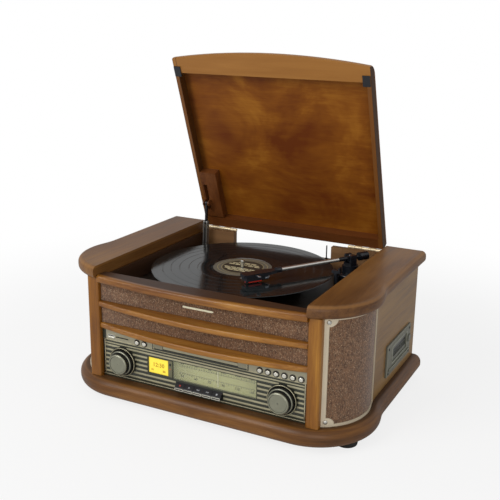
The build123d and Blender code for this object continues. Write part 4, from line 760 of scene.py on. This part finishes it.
# ---- tape keys
# Five piano keys of black plastic work the cassette deck. Each has a plated nose along its front
# edge and a small printed sign on its sloping top, the recording key's in red.
key_plastic = moulded("key_plastic", (28, 28, 32), 0.35, size=500)
sign_white = moulded("sign_white", (176, 178, 182), 0.5)
sign_red = moulded("sign_red", (176, 52, 40), 0.5)
nose_plate = moulded("nose_plate", (224, 222, 208), 0.24, 0.85, size=600)
KEY_PITCH, SIGN_Y, SIGN_Z = 16.2, 4.4, 52.25
slope = Matrix.Rotation(-atan2(7.4, 5.3), 4, "X")


def sign(name, sides, radius, spot, spin=0.0):
    """A flat sign with a few sides lying on the keys' sloping top."""
    take()
    bpy.ops.mesh.primitive_circle_add(vertices=sides, radius=radius / 1000, fill_type="NGON",
                                      rotation=(pi / 2, 0, 0))
    mark = bpy.context.object
    bpy.ops.object.transform_apply()
    mark.data.transform(Matrix.Rotation(spin, 4, "Y"))
    edit(mark)
    bpy.ops.mesh.extrude_region_move(TRANSFORM_OT_translate={"value": (0, -0.00025, 0)})
    close_up()
    mark.data.transform(Matrix.Translation(spot) @ slope)
    mark.name = name
    return mark


for n in range(5):
    key, body = f"key_{n + 1}", f"moving_key_{n + 1}"
    middle = KEY_PITCH * (n - 2)
    dress(key_plastic, key)
    spans = [((middle - 7.6, 0.1, z), (middle + 7.6, 1.2, z + 1.2)) for z in (44.9, 47.9)]
    spans += [((middle + x - 0.55, 0.1, 45.4), (middle + x + 0.55, 1.2, 48.4)) for x in (-7.0, 7.0)]
    settle(bars(f"{key}_nose", spans), nose_plate, body)
    spot = place(middle, SIGN_Y, SIGN_Z)
    if n in (2, 3):
        way = -1 if n == 2 else 1
        mark = joined(f"{key}_sign", [sign("half", 3, 1.5, spot + Vector((way * shift, 0, 0)), way * pi / 2)
                                      for shift in (-0.0012, 0.0014)])
    else:
        sides, radius, spin = {0: (24, 1.5, 0), 1: (3, 1.8, pi / 2), 4: (4, 1.9, pi / 4)}[n]
        mark = sign(f"{key}_sign", sides, radius, spot, spin)
    settle(mark, sign_red if n == 0 else sign_white, body)

# ---- control knobs
# The volume and tuning knobs are black moulded skirts with a finely ribbed barrel, a bright ring
# at each shoulder and a spun pewter-coloured cap let into the front.
knob_black, at = finish("knob_black", 0.4)
x, _, z = at.axes()
ribbing = ((z - KNOB_Z).maths("ARCTAN2", abs(x) - KNOB_X) * 60).maths("SINE")
fill(knob_black, Base_Color=at.noise(300, 2).tint((14, 14, 13), (30, 30, 27)),
     Normal=ribbing.relief(0.0002))
dress(knob_black, "volume_knob", "tuning_knob")


def rings(radius, scale, detail, roughness=0.5):
    """Noise that only changes with the distance from an axis."""
    spot = radius.node("CombineXYZ", (), {0: radius / 100, 1: 0.0, 2: 0.0})
    return spot.noise(scale, detail, roughness)


pewter, at = finish("spun_pewter", 0.34, 0.75)
x, _, z = at.axes()
spun = rings(from_axis(abs(x) - KNOB_X, z - KNOB_Z), 90, 3)
fill(pewter, Base_Color=(0.6 * spun + 0.4 * at.noise(120, 3)).tint((124, 124, 108), (164, 164, 144)),
     Roughness=0.28 + 0.2 * spun, Normal=spun.relief(0.00006))
for side, knob in ((-1, "volume"), (1, "tuning")):
    for part, outline in (
            ("cap", [(13.6, 8.4), (13.6, 9.25), (13.0, 9.45), (10.5, 9.1), (6.0, 8.95), (1.5, 8.9),
                     (0, 8.9)]),
            ("cap_ring", [(13.8, 8.6), (14.1, 9.8), (14.9, 10.1), (16.0, 9.6), (16.75, 8.6), (16.75, 7.4),
                          (14.2, 7.4)]),
            ("skirt_ring", [(18.2, 1.6), (18.2, 2.3), (18.8, 2.6), (19.5, 2.3), (20.0, 1.6), (20.0, 0.8)])):
        piece = turned(f"{knob}_{part}", outline, place(side * KNOB_X, 0, KNOB_Z), FORWARD, 72,
                       hollow=part != "cap")
        settle(piece, pewter, knob)

# ---- turntable deck
# The deck is a black moulded tray let in between the shoulders; its upright side walls are faced
# with dark stained wood. The platter's drive hangs below it.
deck, at = finish("deck_black", 0.42)
_, y, z = at.axes()
grain = at.noise(90, 4, 0.6, 0.4, ALONG_Y)
faced = z.step(174.6, 175.4) * y.step(22, 24)
black = at.noise(700, 2).tint((28, 22, 16), (46, 36, 27))
fill(deck, Base_Color=faced.tint(black, grain.tint((46, 28, 16), (82, 54, 34))),
     Normal=(at.noise(1500, 2) + grain).relief(0.00003))
dress(deck, "turntable_deck")
dress(moulded("drive_black", (26, 26, 27), 0.5), "belt_drive")

# ---- platter
# The platter is a steel pressing under a rubber mat with fine round ridges, and a polished spindle
# stands through its middle.
DISC_X, DISC_Y = -14, 174


def from_spindle(at):
    x, y, _ = at.axes()
    return from_axis(x - DISC_X, y - DISC_Y)


mat, at = finish("platter_mat", 0.7)
radius = from_spindle(at)
spindle = radius.step(5.4, 5.2)
fill(mat, Base_Color=spindle.tint(at.noise(400, 2).tint((24, 24, 24), (38, 38, 38)), (214, 212, 204)),
     Metallic=spindle, Roughness=0.7 - 0.48 * spindle,
     Normal=((radius * 0.9).maths("SINE") * (1 - spindle)).relief(0.0002))
dress(mat, "platter")

# ---- record
# A twelve-inch record lies on the mat: black vinyl pressed with one long groove in six bands. Its
# paper label has an olive-grey rim, a darker middle, and gold rings and bars in place of print.
vinyl, at = finish("black_vinyl", 0.16, Specular_IOR_Level=0.5)
radius = from_spindle(at)
groove = rings(radius, 160, 4, 0.7)
fill(vinyl, Base_Color=groove.tint((16, 20, 21), (32, 38, 40)),
     Roughness=0.07 + 0.07 * rings(radius, 14, 2) + 0.04 * at.noise(9, 2), Normal=groove.relief(0.000016))
outline = [(3.65, 199.4), (3.65, 201.0), (49.2, 201.0), (50.2, 200.75), (57.5, 200.75), (58.5, 200.95)]
for gap in (74.0, 88.5, 104.0, 118.5, 132.0):
    outline += [(gap - 0.7, 200.95), (gap - 0.3, 200.72), (gap + 0.3, 200.72), (gap + 0.7, 200.95)]
outline += [(146.6, 200.95), (148.0, 201.0), (150.2, 200.85), (151.0, 200.3), (150.2, 199.6),
            (148.0, 199.4)]
disc = turned("long_player", outline, place(DISC_X, DISC_Y, 0), UPWARD, 128, True)
settle(disc, vinyl, "turning_platter", 20)
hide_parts("record")

label, at = finish("paper_label", 0.5)
radius = from_spindle(at)
fibres = (0.5 * at.noise(70, 3) + 0.5 * at.noise(500, 2)).tint((94, 90, 80), (124, 118, 104))
gold_rings = radius.band(41.0, 41.8, 0.2) + radius.band(34.2, 35.0, 0.2)
fill(label, Base_Color=gold_rings.tint(radius.step(35.0, 34.0).tint(fibres, (58, 52, 42)), (186, 172, 122)),
     Normal=at.noise(1600, 2).relief(0.00001))
settle(turned("record_label", [(3.65, 200.9), (3.65, 201.12), (48.6, 201.12), (48.8, 200.9)],
              place(DISC_X, DISC_Y, 0), UPWARD, 96, True), label, "turning_platter", 20)
spans = []
for row_y, half, words in ((20, 17, 3), (14, 25, 4), (8, 29, 5), (-9, 29, 5), (-15, 25, 4), (-21, 17, 3)):
    width = 2 * half / words
    for word in range(words):
        start = DISC_X - half + word * width
        spans.append(((start, DISC_Y + row_y - 1.9, 201.1),
                      (start + width * 0.84, DISC_Y + row_y + 1.9, 201.22), 0.05, 1))
gold_ink = moulded("gold_ink", (218, 206, 164), 0.45)
settle(bars("label_print", spans), gold_ink, "turning_platter")

# ---- tonearm
# A straight satin tube carries the headshell. It pivots in a black gimbal on a black plastic tower,
# balanced by a black weight behind. The cartridge ends in a red stylus with a small lift beside it.
arm_black = moulded("arm_black", (22, 25, 32), 0.32, size=400, Coat_Weight=0.3)
dress(arm_black, "arm_base", "arm_gimbal", "cue_lever", "headshell")
dress(moulded("switch_plastic", (30, 31, 34), 0.45), "speed_switch")
ARM_TURN, PIVOT_X, PIVOT_Y, PIVOT_Z = radians(237.2), 140, 268, 215
pivot = place(PIVOT_X, PIVOT_Y, PIVOT_Z)
arm_way = Vector((cos(ARM_TURN), sin(ARM_TURN), 0))
arm_side = Vector((-sin(ARM_TURN), cos(ARM_TURN), 0))
arm_tube, at = finish("arm_tube", 0.26)
x, y, _ = at.axes()
silver = ((x - PIVOT_X) * arm_way.x + (y - PIVOT_Y) * arm_way.y).step(25.0, 25.6)
brushed = at.noise(300, 2).tint((206, 204, 198), (236, 234, 228))
fill(arm_tube, Base_Color=silver.tint((22, 24, 30), brushed), Metallic=0.9 * silver,
     Normal=at.noise(900, 2).relief(0.00001))
dress(arm_tube, "tonearm")


def arm_block(name, reach, aside, height, edge=0.3):
    """An eased block lying along the arm, between two distances from its pivot on each axis."""
    low, high = [Vector(corner) / 1000 for corner in zip(reach, aside, height)]
    piece = eased(name, low, high, edge, 2)
    lie = Matrix((arm_way, arm_side, (0, 0, 1))).transposed().to_4x4()
    bpy.ops.object.transform_apply()
    piece.data.transform(Matrix.Translation(pivot) @ lie)
    return piece


stylus_red = moulded("stylus_red", (226, 50, 34), 0.3, size=500, Coat_Weight=0.4)
settle(arm_block("stylus_holder", (175.0, 198.0), (-5.0, 5.0), (-12.4, -8.0), 0.8), stylus_red,
       "arm")
settle(turned("stylus_point", [(1.6, -7.8), (1.4, -11.4), (0.5, -13.4), (0.2, -13.65), (0, -13.7)],
              pivot + arm_way * 0.2015, UPWARD, 16), stylus_red, "arm")
lift_silver = moulded("lift_silver", (206, 214, 226), 0.22, 0.9)
small_metal = [("finger_lift_tip", (186.2, 189.8), (13.0, 21.0), (-0.2, 1.4), 0.5)]
small_metal += [(f"cartridge_pin_{n + 1}", (160.2, 166.0), (2.4 * n - 4.2, 2.4 * n - 3.0), (-7.6, -6.4))
                for n in range(4)]
small_metal += [("cartridge_clip", (164.6, 171.0), (7.9, 9.1), (-7.8, -5.4))]
for part in small_metal:
    settle(arm_block(*part), lift_silver, "arm")
outline = [(7.05, -18.5), (7.3, -19), (7.3, -22), (7.05, -22.5), (6.0, -22.5), (6.0, -18.5)]
settle(turned("weight_dial", outline, pivot, arm_way, 32, True), arm_black, "arm")
for side, hand in SIDES:
    screw = turned("gimbal_screw_" + hand, [(2.0, 0), (2.0, 0.5), (1.4, 0.9), (0, 1.0)],
                   pivot + Vector((0, 0, 0.0042)) + arm_side * side * 0.0062 / 3, UPWARD, 16)
    settle(screw, lift_silver, "arm")

# ---- lid
# The lid is a thin board in a shallow frame, its front rail bowed like the cabinet and rounded
# over outside. All of it is stained honey-brown, unevenly inside, where the grain runs across.
# The panel carries a painted reflection low in the middle and a painted shadow along the left
# rim; the frame's outer sides and the left rim's inner face carry painted shade.
lid_board, at = finish("lid_board_wood", 0.5, Specular_IOR_Level=0.2)
x, _, z = at.axes()
PATCHY = 0.66
patch = at.noise(9, 4, 0.62, 0.5, (0.8, 1, 1))
grain = at.noise(60, 4, 0.6, 0.6, (0.16, 1, 1))
fine = at.noise(420, 3, 0.6, 0.0, (0.08, 1, 1))
# The panel is painted darker low in the middle: a painted reflection.
painted_reflection = z.step(530, 400) * z.step(200, 330) * (x + 20).band(-110, 110, 60) * 0.3
tone = patch * PATCHY + grain * 0.16 + fine * 0.08 + (0.40 - 0.5 * PATCHY) - painted_reflection * PATCHY * 0.5
stops = (0.38, (104, 48, 8)), (0.5, (134, 76, 16)), (0.62, (168, 108, 32))
stain_and_shading = tone.node("ValToRGB", {"stops": stops}, {0: tone})
# A dark band along the left rim is a painted shadow.
corner = x.band(-170, -158, 5) * z.step(250, 300)
fill(lid_board, Base_Color=(0.55 * corner).tint(stain_and_shading, (50, 24, 8)), Roughness=0.44 + 0.14 * grain,
     Normal=fine.relief(0.00003))
dress(lid_board, "lid_panel")

lid_frame, at = finish("lid_frame_wood", 0.42, Specular_IOR_Level=0.3)
x, _, z = at.axes()
HINGE_Z, LID_LEAN = 214.1, radians(69.4)
grain = at.noise(95, 4, 0.6, 0.5, (0.08, 1, 1))
upright = at.noise(95, 4, 0.6, 0.5, (1, 0.3, 0.1))
# The frame's outer sides are painted darker: painted shade.
outside = abs(x).step(173.7, 174.2)
stain_and_shading = abs(x).step(165, 167).tint(grain.tint((84, 42, 14), (114, 64, 26)),
                                   upright.tint((102, 60, 22), (136, 86, 38)))
front_rail = ((z - HINGE_Z) / sin(LID_LEAN)).step(300, 312)
stain_and_shading = front_rail.tint(stain_and_shading, grain.tint((146, 94, 38), (176, 122, 58)))
stain_and_shading = outside.tint(stain_and_shading, grain.tint((58, 36, 18), (80, 52, 28)))
# The left rim's inner face is painted dark: painted shade.
inner_face_shade = x.step(-168.5, -167.6) * x.step(-166.6, -167.2)
fill(lid_frame, Base_Color=(0.6 * inner_face_shade).tint(stain_and_shading, (40, 20, 8)), Roughness=0.42 + 0.25 * outside,
     Normal=grain.relief(0.00004))
dress(lid_frame, "lid_frame")
dress(wood("stay_block_wood", (76, 38, 14), (104, 58, 24), (126, 76, 36), ALONG_Z, False, 0.4, 0.1),
      "stay_block")
dress(moulded("pad_rubber", (30, 31, 36), 0.6), "lid_pads")

# ---- hinges
# Two pressed steel hinges with a pale brass plate carry the lid: one leaf is screwed to the
# cabinet's hinge block, the other to the lid's rear edge, with five knuckles on one pin.
dress(moulded("hinge_plate", (226, 208, 172), 0.34, 0.55, size=600),
      "lid_hinge_leaves", "wall_hinge_leaves")
screw = turned("left_hinge_screw_1", [(2.3, -0.2), (2.3, 0.35), (1.9, 0.7), (1.0, 0.95), (0, 1.0)],
               place(-165.5, 333, 203.5), BACKWARD, 20)
settle(screw, screw_steel)
for hand, n, x in (("left", 2, -142.5), ("left", 3, -119.5),
                   ("right", 1, 119.5), ("right", 2, 142.5), ("right", 3, 165.5)):
    copied(screw, f"{hand}_hinge_screw_{n}", (x + 165.5, 0, 0))
# The block behind the right hinge runs on a little past it, towards the middle.
packing = block("right_hinge_block_end", (84.2, 320.2, 187.6), (105.0, 331.8, 213.0), 0.5)
settle(packing, board)

# ---- rear rod
# A thin blackened rod stands upright in the notch behind the record. It is set into the top of the
# back board through a small collar.
ROD_FOOT = place(74.0, 326, 188)
settle(turned("rear_rod", [(1.1, -1), (1.1, 24.2), (0.8, 24.8), (0, 24.9)], ROD_FOOT, UPWARD, 16),
       black_line)
settle(turned("rear_rod_collar", [(2.6, -0.5), (2.6, 1.6), (2.0, 2.2), (1.0, 2.3)], ROD_FOOT, UPWARD, 20),
       black_line)

# ---- lid stay
# An elbow stay holds the lid open: a zinc-plated channel below, a black strap above, riveted
# together and to a bracket at each end, so that it folds down beside the record.
zinc = moulded("zinc_plate", (126, 124, 120), 0.4, 0.7, size=500)
dress(zinc, "stay_lower_link")
dress(moulded("black_strap", (24, 25, 28), 0.4), "stay_upper_link")
STAY_X = -161
for name, reach, y, z in (("elbow_rivet", 4.2, 308, 229), ("foot_rivet", 7.0, 304.5, 180)):
    for side, hand in SIDES:
        rivet = turned(f"{name}_{hand}", [(2.1, -0.2), (2.1, 0.4), (1.6, 0.8), (0.8, 1.0), (0, 1.05)],
                       place(STAY_X + side * reach, y, z), (side, 0, 0), 20)
        settle(rivet, zinc, "stay_lower")

# ---- cassette deck
# The cassette mechanism sits in the right flank behind a painted grey-green bezel. A sunk panel
# holds the slot with its sprung flap; a ledge runs below it and the eject key stands beside it.
bezel, at = finish("tape_bezel", 0.42, 0.25)
x, y, z = at.axes()
brushed = at.noise(260, 3, 0.6, 0, (1, 0.06, 1))
sunk = x.step(240.4, 239.9)
# The bezel is painted paler round its border.
pale_border = 1 - (y.band(181.2, 300.8, 0.5) * z.band(55.2, 105.8, 0.5))
grey = (0.5 * at.noise(40, 3) + 0.5 * brushed).tint((96, 96, 84), (130, 128, 112))
grey = sunk.tint(grey, (112, 112, 102))
grey = (0.5 * pale_border * (1 - sunk)).tint(grey, (150, 152, 138))
fill(bezel, Base_Color=x.step(237.9, 237.2).tint(grey, (26, 26, 26)), Normal=brushed.relief(0.00002))
dress(bezel, "cassette_deck")
flap, at = finish("tape_flap", 0.38)
cloud = at.noise(300, 2)
grey, black = cloud.tint((92, 92, 84), (116, 116, 106)), cloud.tint((10, 10, 10), (20, 20, 20))
fill(flap, Base_Color=at.axes()[2].step(85.6, 86.2).tint(grey, black), Normal=cloud.relief(0.00002))
dress(flap, "cassette_flap")
dress(moulded("eject_grey", (120, 120, 110), 0.36, 0.4), "eject_button")

pale_edge = moulded("pale_edge", (166, 168, 152), 0.3, 0.5, size=500)
trim = [((240.7, 203.6, z), (241.5, 282.2, z + 1.4)) for z in (70.0, 98.4)]
trim += [((240.7, y, 71.2), (241.5, y + 1.4, 98.6)) for y in (203.6, 280.8)]
settle(bars("tape_window_trim", trim), pale_edge)
ribs = bars("flap_ribs", [((238.7, 213.0, z), (239.3, 277.0, z + 0.7), 0.2) for z in (79.6, 81.8, 84.0)])
settle(ribs, moulded("flap_rib", (70, 72, 66), 0.3), "tape_flap")
settle(block("ledge_highlight", (241.9, 188.6, 64.9), (242.6, 293.4, 65.6), 0.25), pale_edge)
screw = turned("tape_screw_1", [(2.2, -0.2), (2.2, 0.3), (1.7, 0.7), (0.7, 0.9), (0, 0.92)],
               place(241, 186.5, 100.5), (1, 0, 0), 20)
settle(screw, black_line)
for n, (y, z) in enumerate(((109, 0), (0, -41.5), (109, -41.5)), 2):
    copied(screw, f"tape_screw_{n}", (0, y, z))

# ---- amplifier board
# Inside stands a green circuit board with a transformer, a black finned heat sink and three
# tall capacitors, held on four posts above the plinth.
circuit, at = finish("circuit_board", 0.4, Coat_Weight=0.3)
tracks = at.node("TexBrick", (), {"Vector": at, "Scale": 90.0, "Mortar Size": 0.03}, 1)
green = (0.35 * at.noise(120, 2) + 0.4 * tracks).tint((18, 58, 34), (52, 104, 56))
parts = at.noise(300, 2).tint((22, 22, 24), (46, 46, 50))
fill(circuit, Base_Color=at.axes()[2].step(57.8, 58.4).tint(green, parts),
     Normal=at.noise(700, 2).relief(0.00005))
dress(circuit, "amplifier_board")

# ---- sockets at the back
# A black plate on the back board holds two pairs of phono sockets, their collars ringed in red
# and white, and the mains inlet with its two pins. Plain screws hold the plate and the board.
plate, at = finish("socket_plate", 0.5)
x, y, z = at.axes()
pins = abs(x - 72).step(6.2, 5.9) * y.step(334, 333) * abs(z - 85).step(1.6, 1.4)
metal = (y.step(335.2, 335.5) * x.step(-10, -12)).maths("MAXIMUM", pins)
fill(plate, Base_Color=metal.tint(at.noise(500, 2).tint((20, 20, 21), (34, 34, 36)), (206, 204, 196)),
     Metallic=metal, Roughness=0.5 - 0.22 * metal, Normal=at.noise(900, 2).relief(0.00003))
dress(plate, "jack_panel")
ring_white = moulded("ring_white", (214, 212, 206), 0.45)
ring_red = moulded("ring_red", (168, 30, 26), 0.45)
outline = [(4.3, 1.4), (4.3, 2.4), (4.9, 2.6), (5.4, 2.3), (5.5, 1.4)]
for row, z in ((1, 78), (2, 94)):
    for column, x, material in ((1, -40, ring_white), (2, -22, ring_red)):
        ring = turned(f"phono_ring_{row}_{column}", outline, place(x, 334, z), BACKWARD, 32, True)
        settle(ring, material)
screw = turned("plate_screw_1", [(2.4, -0.3), (2.4, 0.4), (1.9, 0.9), (0.9, 1.15), (0, 1.2)],
               place(-55, 334, 65), BACKWARD, 20)
settle(screw, screw_steel)
for n, (x, z) in enumerate(((95, 65), (-55, 105), (95, 105)), 2):
    copied(screw, f"plate_screw_{n}", (x + 55, 0, z - 65))
BOARD_SCREWS = ((-215, 46), (215, 46), (-215, 196), (215, 196), (0, 46), (-75, 178), (75, 178))
for n, (x, z) in enumerate(BOARD_SCREWS, 1):
    copied(screw, f"back_screw_{n}", (x + 55, -2, z - 65))

take()
